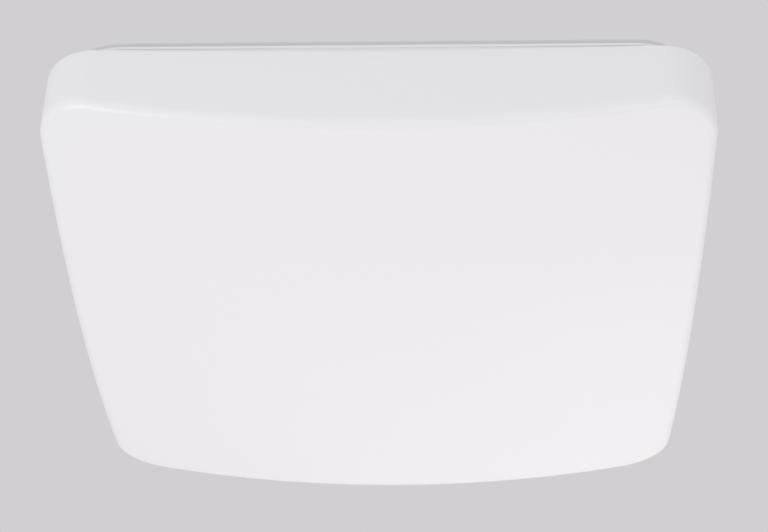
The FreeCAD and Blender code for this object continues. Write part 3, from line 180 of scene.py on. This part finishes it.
class Graph:
    """The node tree of one material or of the world."""

    def __init__(self, tree: bpy.types.NodeTree) -> None:
        """Start from an empty tree."""
        self.tree = tree
        self.tree.nodes.clear()

    def fill(self, socket: bpy.types.NodeSocket, value: Union[Signal, Number, Triple]) -> None:
        """Link a signal to a socket, or set a plain value on it.

        Args:
            socket: An input socket.
            value: A Signal, a number, a colour or a vector.
        """
        if isinstance(value, Signal):
            self.tree.links.new(value.socket, socket)
        elif socket.type == "RGBA":
            socket.default_value = (*value, 1.0)
        else:
            socket.default_value = value

    def raw(self, kind: str, settings: dict, inputs: dict) -> bpy.types.Node:
        """Add a node, set what it is, then set or link its sockets.

        Args:
            kind: The node's type.
            settings: Attributes of the node, set first.
            inputs: Socket name or index to a Signal or a plain value.

        Returns:
            The new node.
        """
        node = self.tree.nodes.new(kind)
        for name, value in settings.items():
            setattr(node, name, value)
        for key, value in inputs.items():
            self.fill(node.inputs[key], value)
        return node

    def add(
        self, kind: str, settings: dict, inputs: dict, output: Union[int, str] = 0
    ) -> Signal:
        """Add a node as raw does and return one of its outputs.

        Args:
            kind: The node's type.
            settings: Attributes of the node.
            inputs: Socket name or index to a Signal or a plain value.
            output: The output's name or index.

        Returns:
            That output as a Signal.
        """
        return Signal(self, self.raw(kind, settings, inputs).outputs[output])

    def place(self) -> Signal:
        """Return the point on the object, in metres."""
        return self.add("ShaderNodeTexCoord", {}, {}, "Object")

    def axis(self, name: str) -> Signal:
        """Return one coordinate of the point on the object."""
        return self.add("ShaderNodeSeparateXYZ", {}, {"Vector": self.place()}, name)

    def noise(self, scale: float, octaves: float, stretch: Triple = UNSTRETCHED) -> Signal:
        """Return noise between 0 and 1.

        Args:
            scale: Features per metre.
            octaves: How many finer layers are added.
            stretch: Scale of each axis, to draw the noise out along one of them.

        Returns:
            The noise.
        """
        place = self.place()
        if stretch != UNSTRETCHED:
            place = self.add("ShaderNodeMapping", {}, {"Vector": place, "Scale": stretch})
        inputs = {
            "Vector": place,
            "Scale": scale,
            "Detail": octaves,
            "Roughness": NOISE_ROUGHNESS,
        }
        return self.add("ShaderNodeTexNoise", {}, inputs, "Fac")

    def mixed(
        self, factor: Signal, first: Union[Signal, Colour], second: Union[Signal, Colour]
    ) -> Signal:
        """Mix two colours.

        Args:
            factor: 0 where the first colour shows and 1 where the second does.
            first: The first colour.
            second: The second colour.

        Returns:
            The mixed colour.
        """
        node = self.raw("ShaderNodeMix", {"data_type": "RGBA"}, {"Factor": factor})
        sockets = [socket for socket in node.inputs if socket.type == "RGBA"]
        for socket, value in zip(sockets, (first, second)):
            self.fill(socket, value)
        result = next(socket for socket in node.outputs if socket.type == "RGBA")
        return Signal(self, result)


# ---------------------------------------------------------------- finishes


@dataclass(frozen=True)
class Finish:
    """A surface: two near colours in soft patches, a range of roughness and a fine relief."""

    name: str
    colour: Colour
    patch_colour: Colour
    patch_scale: float = 18.0
    patch_octaves: float = 4.0
    roughness: tuple[float, float] = (0.4, 0.5)
    wear_ratio: float = 3.0
    wear_octaves: float = 5.0
    grain_scale: float = 900.0
    grain_height: float = 0.00002
    grain_octaves: float = 2.0
    stretch: Triple = UNSTRETCHED
    metallic: float = 0.0
    specular: float = 0.5
    coat: float = 0.0
    ior: float = 1.5
    alpha: float = 1.0

    def colour_signal(self, graph: Graph) -> Signal:
        """Return the colour over the surface."""
        patches = graph.noise(self.patch_scale, self.patch_octaves)
        return graph.mixed(patches, self.colour, self.patch_colour)

    def roughness_signal(self, graph: Graph) -> Signal:
        """Return the roughness over the surface.

        Args:
            graph: The material's graph.

        Returns:
            The roughness, between the two ends of its range.
        """
        low, high = self.roughness
        wear = graph.noise(self.patch_scale * self.wear_ratio, self.wear_octaves, self.stretch)
        return wear * (high - low) + low

    def height_signal(self, graph: Graph) -> Signal:
        """Return the relief, from 0 to 1."""
        return graph.noise(self.grain_scale, self.grain_octaves, self.stretch)

    def make(self) -> bpy.types.Material:
        """Build the material.

        Returns:
            The finished material.
        """
        material = bpy.data.materials.new(self.name)
        material.use_nodes = True
        graph = Graph(material.node_tree)
        relief = {
            "Strength": 1.0,
            "Distance": self.grain_height,
            "Height": self.height_signal(graph),
        }
        surface = {
            "Base Color": self.colour_signal(graph),
            "Roughness": self.roughness_signal(graph),
            "Metallic": self.metallic,
            "IOR": self.ior,
            "Specular IOR Level": self.specular,
            "Coat Weight": self.coat,
            "Alpha": self.alpha,
            "Normal": graph.add("ShaderNodeBump", {}, relief),
        }
        shader = graph.add("ShaderNodeBsdfPrincipled", {}, surface)
        graph.raw("ShaderNodeOutputMaterial", {}, {"Surface": shader})
        material.diffuse_color = (*self.colour, 1.0)
        return material


@dataclass(frozen=True)
class ShadedPanPaint(Finish):
    """White powder coat on the pan with painted shade: the skirt behind is greyed for the ceiling's
    shadow, the hemmed lip stays white.
    """

    lip_colour: Colour = (0.82, 0.82, 0.84)
    lip_top: float = -6.3 * MM
    lip_bottom: float = -8.3 * MM

    def colour_signal(self, graph: Graph) -> Signal:
        """Return the skirt's colour, greyed as painted shade, and the lip's white between its two
        levels.

        Args:
            graph: The material's graph.

        Returns:
            The colour over the pan.
        """
        # Painted shade: the pan's base colours are greyed to stand in for the ceiling's shadow on
        # the skirt.
        skirt = Finish.colour_signal(self, graph)
        height = graph.axis("Z")
        lip = (self.lip_top - height > 0.0) * (height - self.lip_bottom > 0.0)
        return graph.mixed(lip, skirt, self.lip_colour)


@dataclass(frozen=True)
class RowFinish(Finish):
    """A finish that knows where the rows of light sources run on the boards."""

    rows: tuple[float, float] = (75.0 * MM, 130.0 * MM)
    pitch: float = 48.0 * MM

    def across(self, graph: Graph) -> Signal:
        """Return the distance from the nearest row.

        Args:
            graph: The material's graph.

        Returns:
            The distance, in metres.
        """
        side = graph.axis("Y").absolute()
        inner, outer = self.rows
        return (side - inner).absolute().lesser((side - outer).absolute())

    def along(self, graph: Graph, phase: float) -> Signal:
        """Return the distance along the row from the nearest place of a repeating mark.

        Args:
            graph: The material's graph.
            phase: Where one of the marks is, along X.

        Returns:
            The distance, in metres.
        """
        half = self.pitch / 2.0
        return ((graph.axis("X") + (half - phase)) % self.pitch - half).absolute()

    def disc(self, graph: Graph, phase: float, offset: float, radius: float) -> Signal:
        """Return 1 inside round marks repeated along the row.

        Args:
            graph: The material's graph.
            phase: Where one of the marks is, along X.
            offset: How far the marks are from the row.
            radius: The marks' radius.

        Returns:
            The mask.
        """
        along = self.along(graph, phase)
        across = self.across(graph) - offset
        return 1.0 - (along * along + across * across > radius * radius)


@dataclass(frozen=True)
class BoardMask(RowFinish):
    """White solder mask: faint raised copper tracks under it and a row of tinned test points."""

    track: tuple[float, float] = (4.4 * MM, 7.4 * MM)
    track_gap: float = 1.1 * MM
    gap_phase: float = 0.0
    track_colour: Colour = (0.76, 0.76, 0.73)
    point_phase: float = 12.0 * MM
    point_radius: float = 0.9 * MM
    point_colour: Colour = (0.52, 0.53, 0.54)
    grain_share: float = 0.2

    def tracks(self, graph: Graph) -> Signal:
        """Return 1 over the copper tracks, which are broken midway between the sources.

        Args:
            graph: The material's graph.

        Returns:
            The mask.
        """
        low, high = self.track
        across = self.across(graph)
        unbroken = self.along(graph, self.gap_phase) > self.track_gap
        return (across > low) * (1.0 - (across > high)) * unbroken

    def colour_signal(self, graph: Graph) -> Signal:
        """Return the mask's colour, a little darker over the tracks, and the tin of the points.

        Args:
            graph: The material's graph.

        Returns:
            The colour over the board.
        """
        bare = Finish.colour_signal(self, graph)
        mask = graph.mixed(self.tracks(graph), bare, self.track_colour)
        middle = sum(self.track) / 2.0
        points = self.disc(graph, self.point_phase, middle, self.point_radius)
        return graph.mixed(points, mask, self.point_colour)

    def height_signal(self, graph: Graph) -> Signal:
        """Return the fine relief with the tracks raised over it."""
        grain = Finish.height_signal(self, graph) * self.grain_share
        return grain + self.tracks(graph) * (1.0 - self.grain_share)


@dataclass(frozen=True)
class SourceCup(RowFinish):
    """A light source: a pale moulded cup round a disc of phosphor."""

    cup_colour: Colour = (0.82, 0.82, 0.80)
    disc_phase: float = 24.0 * MM
    disc_radius: float = 1.15 * MM

    def colour_signal(self, graph: Graph) -> Signal:
        """Return the phosphor's colour inside the disc and the cup's outside it."""
        disc = self.disc(graph, self.disc_phase, 0.0, self.disc_radius)
        return graph.mixed(disc, self.cup_colour, Finish.colour_signal(self, graph))


@dataclass(frozen=True)
class StripedSleeve(Finish):
    """Insulation with a second colour along it."""

    stripe_colour: Colour = (0.72, 0.62, 0.06)
    stripe_lean: float = 0.75

    def colour_signal(self, graph: Graph) -> Signal:
        """Return the sleeve's colour, striped where it faces the room and where it faces the pan.

        Args:
            graph: The material's graph.

        Returns:
            The colour over the sleeve.
        """
        sleeve = Finish.colour_signal(self, graph)
        normal = graph.add("ShaderNodeNewGeometry", {}, {}, "True Normal")
        upright = graph.add("ShaderNodeSeparateXYZ", {}, {"Vector": normal}, "Z").absolute()
        return graph.mixed(upright > self.stripe_lean, sleeve, self.stripe_colour)


FINISHES: dict[Slot, Finish] = {
    # The pan's grey colours are painted shade on a white pan; its lip_colour is the white itself.
    Slot.PAN: ShadedPanPaint(
        "powder_coat_painted_shade", (0.66, 0.66, 0.69), (0.68, 0.68, 0.705), roughness=(0.38, 0.46),
        grain_scale=1400.0, grain_height=0.00003,
    ),
    Slot.OPAL: Finish(
        "opal_acrylic", (0.86, 0.86, 0.885), (0.87, 0.868, 0.89), patch_scale=7.0,
        roughness=(0.30, 0.36), grain_scale=260.0, grain_height=0.000004,
    ),
    Slot.FOAM: Finish(
        "foam_seal", (0.93, 0.93, 0.94), (0.89, 0.89, 0.90), patch_scale=120.0,
        roughness=(0.8, 0.95), grain_scale=2600.0, grain_height=0.00012,
    ),
    Slot.BLACK_RUBBER: Finish(
        "bush_rubber", (0.022, 0.022, 0.023), (0.035, 0.034, 0.033), patch_scale=90.0,
        roughness=(0.55, 0.72), grain_scale=1500.0,
    ),
    Slot.SPRING: Finish(
        "spring_steel", (0.50, 0.50, 0.51), (0.42, 0.42, 0.44), patch_scale=60.0,
        roughness=(0.22, 0.38), metallic=1.0, grain_scale=900.0, grain_height=0.00001,
        stretch=(1.0, 14.0, 1.0),
    ),
    Slot.ZINC: Finish(
        "zinc_plate", (0.60, 0.60, 0.58), (0.50, 0.51, 0.50), patch_scale=150.0,
        roughness=(0.28, 0.46), metallic=1.0, grain_scale=1800.0, grain_height=0.00001,
    ),
    Slot.RIVET: Finish(
        "rivet_aluminium", (0.74, 0.74, 0.75), (0.66, 0.66, 0.68), patch_scale=140.0,
        roughness=(0.25, 0.4), metallic=1.0, grain_scale=1600.0, grain_height=0.000008,
    ),
    Slot.BOARD: BoardMask(
        "white_solder_mask", (0.83, 0.83, 0.81), (0.79, 0.79, 0.77), patch_scale=40.0,
        roughness=(0.32, 0.42), grain_scale=1200.0, grain_height=0.00006,
    ),
    Slot.PHOSPHOR: SourceCup(
        "phosphor", (0.86, 0.66, 0.12), (0.90, 0.73, 0.20), patch_scale=700.0,
        roughness=(0.25, 0.4), grain_scale=3000.0, grain_height=0.00001, coat=0.3,
    ),
    Slot.LENS: Finish(
        "lens_acrylic", (0.93, 0.95, 0.96), (0.95, 0.96, 0.97), patch_scale=50.0,
        roughness=(0.06, 0.10), grain_scale=700.0, grain_height=0.000003, ior=1.49, alpha=0.25,
    ),
    Slot.NYLON: Finish(
        "natural_nylon", (0.80, 0.79, 0.75), (0.75, 0.74, 0.70), patch_scale=120.0,
        roughness=(0.42, 0.55), grain_scale=1500.0,
    ),
    Slot.DRIVER: Finish(
        "driver_plastic", (0.76, 0.76, 0.74), (0.72, 0.72, 0.71), patch_scale=30.0,
        roughness=(0.45, 0.58), grain_scale=1900.0, grain_height=0.00004,
    ),
    Slot.CIRCUIT: Finish(
        "green_solder_mask", (0.022, 0.13, 0.045), (0.03, 0.17, 0.06), patch_scale=160.0,
        roughness=(0.25, 0.4), grain_scale=1400.0, coat=0.3,
    ),
    Slot.DARK: Finish(
        "moulded_black", (0.018, 0.018, 0.02), (0.035, 0.034, 0.036), patch_scale=200.0,
        roughness=(0.35, 0.5), grain_scale=1700.0,
    ),
    Slot.TAPE: Finish(
        "winding_tape", (0.70, 0.50, 0.06), (0.62, 0.43, 0.05), patch_scale=120.0,
        roughness=(0.2, 0.35), grain_scale=900.0, stretch=(1.0, 1.0, 9.0),
    ),
    Slot.BLOCK: Finish(
        "block_polyamide", (0.50, 0.51, 0.53), (0.45, 0.46, 0.48), patch_scale=90.0,
        roughness=(0.42, 0.56), grain_scale=1700.0, grain_height=0.00003,
    ),
    Slot.LEVER: Finish(
        "lever_moulding", (0.07, 0.16, 0.30), (0.085, 0.19, 0.34), patch_scale=140.0,
        roughness=(0.28, 0.4), grain_scale=1500.0,
    ),
    Slot.BRASS: Finish(
        "contact_brass", (0.66, 0.47, 0.20), (0.55, 0.38, 0.17), patch_scale=180.0,
        roughness=(0.25, 0.42), metallic=1.0, grain_scale=1500.0, grain_height=0.000008,
    ),
    Slot.BROWN: Finish(
        "brown_sleeve", (0.13, 0.05, 0.025), (0.16, 0.065, 0.03), patch_scale=90.0,
        roughness=(0.3, 0.45), grain_scale=1600.0,
    ),
    Slot.BLUE: Finish(
        "blue_sleeve", (0.03, 0.10, 0.38), (0.04, 0.13, 0.44), patch_scale=90.0,
        roughness=(0.3, 0.45), grain_scale=1600.0,
    ),
    Slot.GREEN: StripedSleeve(
        "green_sleeve", (0.06, 0.32, 0.05), (0.08, 0.37, 0.06), patch_scale=90.0,
        roughness=(0.3, 0.45), grain_scale=1600.0,
    ),
    Slot.WHITE: Finish(
        "white_sleeve", (0.74, 0.74, 0.73), (0.69, 0.69, 0.68), patch_scale=90.0,
        roughness=(0.35, 0.5), grain_scale=1600.0,
    ),
}


# ---------------------------------------------------------------- the stage


@dataclass(frozen=True)
class Softbox:
    """A soft square lamp."""

    name: str
    place: Triple
    aim: Triple
    side: float
    watts: float
    tint: Colour
    in_gloss: bool = True

    def hang(self) -> None:
        """Hang the lamp in its place and turn it to its aim."""
        data = bpy.data.lights.new(self.name, "AREA")
        data.shape = "SQUARE"
        data.size = self.side
        data.energy = self.watts
        data.color = self.tint
        lamp = bpy.data.objects.new(self.name, data)
        look = Vector(self.aim) - Vector(self.place)
        turn = look.to_track_quat("-Z", "Y").to_matrix().to_4x4()
        lamp.matrix_world = Matrix.Translation(self.place) @ turn
        bpy.context.scene.collection.objects.link(lamp)
        lamp.visible_glossy = self.in_gloss


@dataclass
class Studio:
    """The camera at the photograph's angle, the plain backdrop, the floor and the soft lights."""

    backdrop: Colour = (0.6445, 0.6240, 0.6445)
    ambient: Colour = (0.826, 0.819, 0.832)
    floor_level: float = -3.4
    floor_half: float = 40.0
    floor_finish: Finish = Finish(
        "floor_paint", (0.85, 0.84, 0.85), (0.85, 0.84, 0.85), roughness=(0.8, 0.9), specular=0.1
    )
    lens: float = 93.67
    sensor: float = 36.0
    pitch: float = 0.6519
    yaw: float = -0.0396
    roll: float = 0.0192
    distance: float = 1.1695
    shift_right: float = -1.21 * MM
    shift_up: float = -7.05 * MM
    aim_level: float = -9.2 * MM
    view_reach: float = 60.0
    lamps: tuple[Softbox, ...] = (
        Softbox(
            "left_softbox", place=(-1.35, -1.1, -1.5), aim=(0.0, 0.0, -0.05), side=0.8,
            watts=10.3, tint=(0.99, 1.0, 1.01),
        ),
        Softbox(
            "right_softbox", place=(1.2, -1.2, -1.5), aim=(0.0, 0.0, -0.05), side=0.8,
            watts=3.6, tint=(1.0, 0.99, 1.01),
        ),
        Softbox(
            "far_softbox", place=(0.5, 1.0, -0.7), aim=(0.05, 0.05, -0.07), side=0.5,
            watts=4.8, tint=(1.0, 0.91, 0.83), in_gloss=False,
        ),
    )

    def camera(self) -> None:
        """Place the camera below and in front of the light, looking up at it."""
        ahead = Vector(
            (
                math.sin(self.yaw) * math.cos(self.pitch),
                math.cos(self.yaw) * math.cos(self.pitch),
                math.sin(self.pitch),
            )
        )
        right = ahead.cross(Vector((0.0, 0.0, 1.0))).normalized()
        upward = right.cross(ahead)
        rolled_right = right * math.cos(self.roll) + upward * math.sin(self.roll)
        rolled_up = upward * math.cos(self.roll) - right * math.sin(self.roll)
        place = (
            Vector((0.0, 0.0, self.aim_level))
            - ahead * self.distance
            + rolled_right * self.shift_right
            + rolled_up * self.shift_up
        )
        data = bpy.data.cameras.new("camera")
        data.lens = self.lens
        data.sensor_width = self.sensor
        data.sensor_fit = "HORIZONTAL"
        data.clip_end = self.view_reach
        camera = bpy.data.objects.new("camera", data)
        turn = Matrix((rolled_right, rolled_up, -ahead)).transposed().to_4x4()
        camera.matrix_world = Matrix.Translation(place) @ turn
        bpy.context.scene.collection.objects.link(camera)
        bpy.context.scene.camera = camera

    def world(self) -> None:
        """Light everything evenly; show the plain backdrop to the camera, in gloss and in glass."""
        world = bpy.data.worlds.new("studio")
        world.use_nodes = True
        bpy.context.scene.world = world
        graph = Graph(world.node_tree)
        path = graph.raw("ShaderNodeLightPath", {}, {})
        names = ("Is Camera Ray", "Is Glossy Ray", "Is Transmission Ray")
        seen, gloss, through = (Signal(graph, path.outputs[name]) for name in names)
        straight = (seen + gloss + through).lesser(1.0)
        even, plain = (
            graph.add("ShaderNodeBackground", {}, {"Color": colour, "Strength": 1.0})
            for colour in (self.ambient, self.backdrop)
        )
        sky = graph.add("ShaderNodeMixShader", {}, {0: straight, 1: even, 2: plain})
        graph.raw("ShaderNodeOutputWorld", {}, {"Surface": sky})

    def floor(self) -> None:
        """Lay a plain pale floor far below the light."""
        mesh = bpy.data.meshes.new("floor")
        sheet = bmesh.new()
        bmesh.ops.create_grid(sheet, x_segments=1, y_segments=1, size=self.floor_half)
        bmesh.ops.translate(sheet, vec=(0.0, 0.0, self.floor_level), verts=sheet.verts)
        sheet.to_mesh(mesh)
        sheet.free()
        floor = bpy.data.objects.new("floor", mesh)
        bpy.context.scene.collection.objects.link(floor)
        mesh.materials.append(self.floor_finish.make())

    def build(self) -> None:
        """Build the whole stage."""
        self.camera()
        self.world()
        self.floor()
        for lamp in self.lamps:
            lamp.hang()


# ---------------------------------------------------------------- dressing


@dataclass
class Dresser:
    """Makes each finish once and puts it on the CAD nodes and the new pieces."""

    made: dict[Slot, bpy.types.Material] = field(default_factory=dict)

    def material(self, slot: Slot) -> bpy.types.Material:
        """Return the material of a slot, made on its first use.

        Args:
            slot: The material slot.

        Returns:
            Its material.
        """
        if slot not in self.made:
            self.made[slot] = FINISHES[slot].make()
        return self.made[slot]

    def dress_nodes(self, frame: dict) -> None:
        """Give every CAD node the finish of its slot.
        """
        for entry in frame["record"]["subparts"]:
            node = frame["nodes"][entry["node"]]
            material = self.material(Slot(entry["material_slot"]))
            for holder in node.material_slots:
                holder.material = material
            if not node.material_slots:
                node.data.materials.append(material)

    def dress(self, piece: bpy.types.Object, slot: Slot, body: Body, *nodes: str) -> None:
        """Finish a new piece, let it ride, and hide the CAD nodes it stands for.

        Args:
            piece: The new object.
            slot: Its material slot.
            body: The body it moves with.
            nodes: The CAD nodes it replaces.
        """
        piece.data.materials.append(self.material(slot))
        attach(piece, body.value)
        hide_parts(*nodes)


# ---------------------------------------------------------------- the shade


@dataclass(frozen=True)
class Skin:
    """One skin of the shade, outer or inner: a dome, an upright side and the round between."""

    half: float
    corner: float
    crown: float
    face: float
    crease: float

    def dome(self, x: float, y: float) -> float:
        """Return the dome's height over a point of the plan."""
        return self.face + self.crown - math.sqrt(self.crown * self.crown - x * x - y * y)

    def fillet(self, edge: EdgePoint, steps: int) -> Ring:
        """Return the round between the dome and the side at one point of the outline.

        Args:
            edge: The point's x and y and the x and y of its outward direction.
            steps: How many points the round has.

        Returns:
            The points, from the dome to the side.
        """
        x, y, nx, ny = edge
        inside_x, inside_y = x - nx * self.crease, y - ny * self.crease
        height = self.dome(inside_x, inside_y)
        slope = -(inside_x * nx + inside_y * ny) / (self.face + self.crown - height)
        middle = height + self.crease * math.sqrt(1 + slope * slope)
        start = math.atan2(-1.0, slope)
        points = []
        for step in range(steps):
            part = step / (steps - 1)
            angle = start + (-math.pi - start) * part
            reach = self.crease + self.crease * math.cos(angle)
            level = middle + self.crease * math.sin(angle)
            points.append(Vector((x - nx * reach, y - ny * reach, level)))
        return points


@dataclass
class ShadeShell:
    """The opal shade, swept in rings from the middle of its face, over its rim, to its inside."""

    half: float
    rim: float
    face: float
    corner: float = 29.0 * MM
    wall: float = 3.0 * MM
    crown: float = 806.0 * MM
    crease: float = 6.0 * MM
    bead_width: float = 3.0 * MM
    bead_height: float = 5.0 * MM
    bead_corner: float = 36.0 * MM
    relief_half: float = 140.0 * MM
    relief_rise: float = 1.8 * MM
    relief_depth: float = 2.0 * MM
    rim_round: float = 1.5 * MM
    edge_round: float = 0.4 * MM
    side_steps: int = 44
    corner_steps: int = 18
    crown_rings: int = 22
    crease_steps: int = 9
    wall_steps: int = 5
    round_steps: int = 5
    merge: float = 0.002 * MM
    smooth_degrees: float = 38.0

    def outline(self, half: float, corner: float) -> list[EdgePoint]:
        """Return the rounded square's points with their outward directions.

        Args:
            half: Half of the square's side.
            corner: The radius of its corners.

        Returns:
            x, y and the outward direction's x, y for each point, going round from the +X side.
        """
        run = half - corner
        local = [
            (half, -run + 2 * run * step / self.side_steps, 1.0, 0.0)
            for step in range(self.side_steps)
        ]
        for step in range(self.corner_steps):
            angle = math.pi / 2 * step / self.corner_steps
            nx, ny = math.cos(angle), math.sin(angle)
            local.append((run + corner * nx, run + corner * ny, nx, ny))
        points = []
        for side in range(4):
            turn = side * math.pi / 2
            cosine, sine = math.cos(turn), math.sin(turn)
            points += [
                (
                    x * cosine - y * sine, x * sine + y * cosine,
                    nx * cosine - ny * sine, nx * sine + ny * cosine,
                )
                for x, y, nx, ny in local
            ]
        return points

    def rim_edge(self, x: float, y: float) -> float:
        """Return the height of the rim's outer edge, which dips in a long arc on each side.

        Args:
            x: The point's x.
            y: The point's y.

        Returns:
            The height.
        """
        along = min(abs(x), abs(y))
        if along >= self.relief_half:
            return self.rim
        radius = (self.relief_half**2 + self.relief_rise**2) / (2 * self.relief_rise)
        return self.rim - (math.sqrt(radius**2 - along**2) - (radius - self.relief_rise))

    def below_edge(self, drop: float) -> Level:
        """Return the rule of a line that follows the rim's outer edge some way below it."""
        return lambda x, y: self.rim_edge(x, y) - drop

    def skin_rings(self, skin: Skin, top: Level) -> list[Ring]:
        """Return the rings of one skin, from the middle of its dome up to its upper edge.

        Args:
            skin: The skin's form.
            top: Gives the upper edge's height at a point.

        Returns:
            The rings; all points of the first one lie at the dome's pole.
        """
        outline = self.outline(skin.half, skin.corner)
        fillets = [skin.fillet(edge, self.crease_steps) for edge in outline]
        arcs = [list(ring) for ring in zip(*fillets)]
        rings = []
        for step in range(self.crown_rings + 1):
            share = step / (self.crown_rings + 1)
            spots = [(contact.x * share, contact.y * share) for contact in arcs[0]]
            rings.append([Vector((x, y, skin.dome(x, y))) for x, y in spots])
        rings += arcs
        for step in range(1, self.wall_steps + 1):
            share = step / self.wall_steps
            rings.append(
                [
                    Vector((x, y, low.z + (top(x, y) - low.z) * share))
                    for (x, y, _, _), low in zip(outline, arcs[-1])
                ]
            )
        return rings

    def edge_ring(self, half: float, corner: float, level: Level) -> Ring:
        """Return one ring on an outline at heights given by a rule."""
        return [Vector((x, y, level(x, y))) for x, y, _, _ in self.outline(half, corner)]

    def rim_rings(self) -> list[Ring]:
        """Return the rings over the rim, from the outer side's top to the inner bead's foot.

        Returns:
            The rings.
        """
        rings = []
        for step in range(1, self.round_steps + 1):
            angle = math.pi / 2 * step / self.round_steps
            inset = self.rim_round * (1 - math.cos(angle))
            drop = self.rim_round * (1 - math.sin(angle))
            rings.append(
                self.edge_ring(self.half - inset, self.corner - inset, self.below_edge(drop))
            )
        bead = self.half - self.wall - self.bead_width
        shelf = self.half - self.relief_depth
        shelf_corner = self.corner - self.relief_depth
        rings += [
            self.edge_ring(shelf, shelf_corner, self.rim_edge),
            self.edge_ring(shelf, shelf_corner, flat(self.rim)),
            self.edge_ring(bead + self.edge_round, self.bead_corner, flat(self.rim)),
            self.edge_ring(bead, self.bead_corner, flat(self.rim - self.edge_round)),
            self.edge_ring(bead, self.bead_corner, flat(self.rim - self.bead_height)),
        ]
        return rings

    def rings(self) -> list[Ring]:
        """Return all the rings from the face's middle, over the rim, to the inside's middle.

        Returns:
            The rings.
        """
        outer = Skin(self.half, self.corner, self.crown, self.face, self.crease)
        inner = Skin(
            self.half - self.wall, self.corner - self.wall, self.crown - self.wall,
            self.face + self.wall, self.crease - self.wall,
        )
        outside = self.skin_rings(outer, self.below_edge(self.rim_round))
        inside = self.skin_rings(inner, flat(self.rim - self.bead_height))
        return outside + self.rim_rings() + inside[::-1]

    def draw_out(
        self, shell: bmesh.types.BMesh, verts: list, edges: list, ring: Ring
    ) -> tuple[list, list]:
        """Extrude the open edge of the sweep to the next ring.

        Args:
            shell: The mesh being swept.
            verts: The open edge's vertices, in the order of a ring's points.
            edges: The open edge's edges.
            ring: The points of the next ring.

        Returns:
            The new open edge's vertices, in the same order, and its edges.
        """
        made = bmesh.ops.extrude_edge_only(shell, edges=edges)["geom"]
        new, old = set(made), set(verts)
        follow = {}
        for vert in verts:
            for edge in vert.link_edges:
                other = edge.other_vert(vert)
                if other in new and other not in old:
                    follow[vert] = other
        verts = [follow[vert] for vert in verts]
        for vert, point in zip(verts, ring):
            vert.co = point
        fresh = set(verts)
        edges = [
            item
            for item in made
            if isinstance(item, bmesh.types.BMEdge) and fresh.issuperset(item.verts)
        ]
        return verts, edges

    def build(self, dresser: Dresser) -> bpy.types.Object:
        """Build the shade as one closed shell and dress it in place of the CAD node.

        Args:
            dresser: What holds the finishes.

        Returns:
            The shade's object.
        """
        rings = self.rings()
        count = len(rings[0])
        shell = bmesh.new()
        first = bmesh.ops.create_circle(shell, cap_ends=False, segments=count, radius=1.0)
        verts = list(first["verts"])
        for vert, point in zip(verts, rings[0]):
            vert.co = point
        edges = [
            shell.edges.get((verts[index], verts[(index + 1) % count])) for index in range(count)
        ]
        for ring in rings[1:]:
            verts, edges = self.draw_out(shell, verts, edges, ring)
        bmesh.ops.remove_doubles(shell, verts=shell.verts, dist=self.merge)
        bmesh.ops.recalc_face_normals(shell, faces=shell.faces)
        order_faces(shell)
        mesh = bpy.data.meshes.new("opal_shade")
        shell.to_mesh(mesh)
        shell.free()
        piece = smooth_object("opal_shade", mesh, self.smooth_degrees)
        dresser.dress(piece, Slot.OPAL, Body.SHADE, "diffuser")
        return piece


def flat(level: float) -> Level:
    """Return the rule of a line that is level all round."""
    return lambda x, y: level


def order_faces(shell: bmesh.types.BMesh) -> None:
    """Sort the faces by their corners, because extruding leaves them in another order each run.

    Args:
        shell: The mesh.
    """
    shell.verts.index_update()
    ordered = sorted(shell.faces, key=lambda face: sorted(vert.index for vert in face.verts))
    rank = {face: place for place, face in enumerate(ordered)}
    shell.faces.sort(key=rank.get)


def smooth_object(name: str, mesh: bpy.types.Mesh, degrees: float) -> bpy.types.Object:
    """Make an object of a mesh, smooth across edges that turn by less than an angle.

    Args:
        name: The object's name.
        mesh: Its mesh.
        degrees: The sharpest turn that stays smooth.

    Returns:
        The linked object.
    """
    piece = bpy.data.objects.new(name, mesh)
    bpy.context.scene.collection.objects.link(piece)
    limit = math.radians(degrees)
    edit = bmesh.new()
    edit.from_mesh(mesh)
    for face in edit.faces:
        face.smooth = True
    for edge in edit.edges:
        if len(edge.link_faces) == 2 and edge.calc_face_angle(0.0) > limit:
            edge.smooth = False
    edit.to_mesh(mesh)
    edit.free()
    return piece


def main() -> None:
    """Build the stage, every finish and the light's new piece, in order."""
    logging.basicConfig(level=logging.INFO, format="%(name)s %(message)s")
    bpy.context.scene.view_settings.view_transform = "Standard"
    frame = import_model()
    Studio().build()
    dresser = Dresser()
    dresser.dress_nodes(frame)
    low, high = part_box("diffuser")
    shade = ShadeShell(half=high.x, rim=high.z, face=low.z).build(dresser)
    LOG.info("%s: %d faces", shade.name, len(shade.data.polygons))


if __name__ == "__main__":
    main()
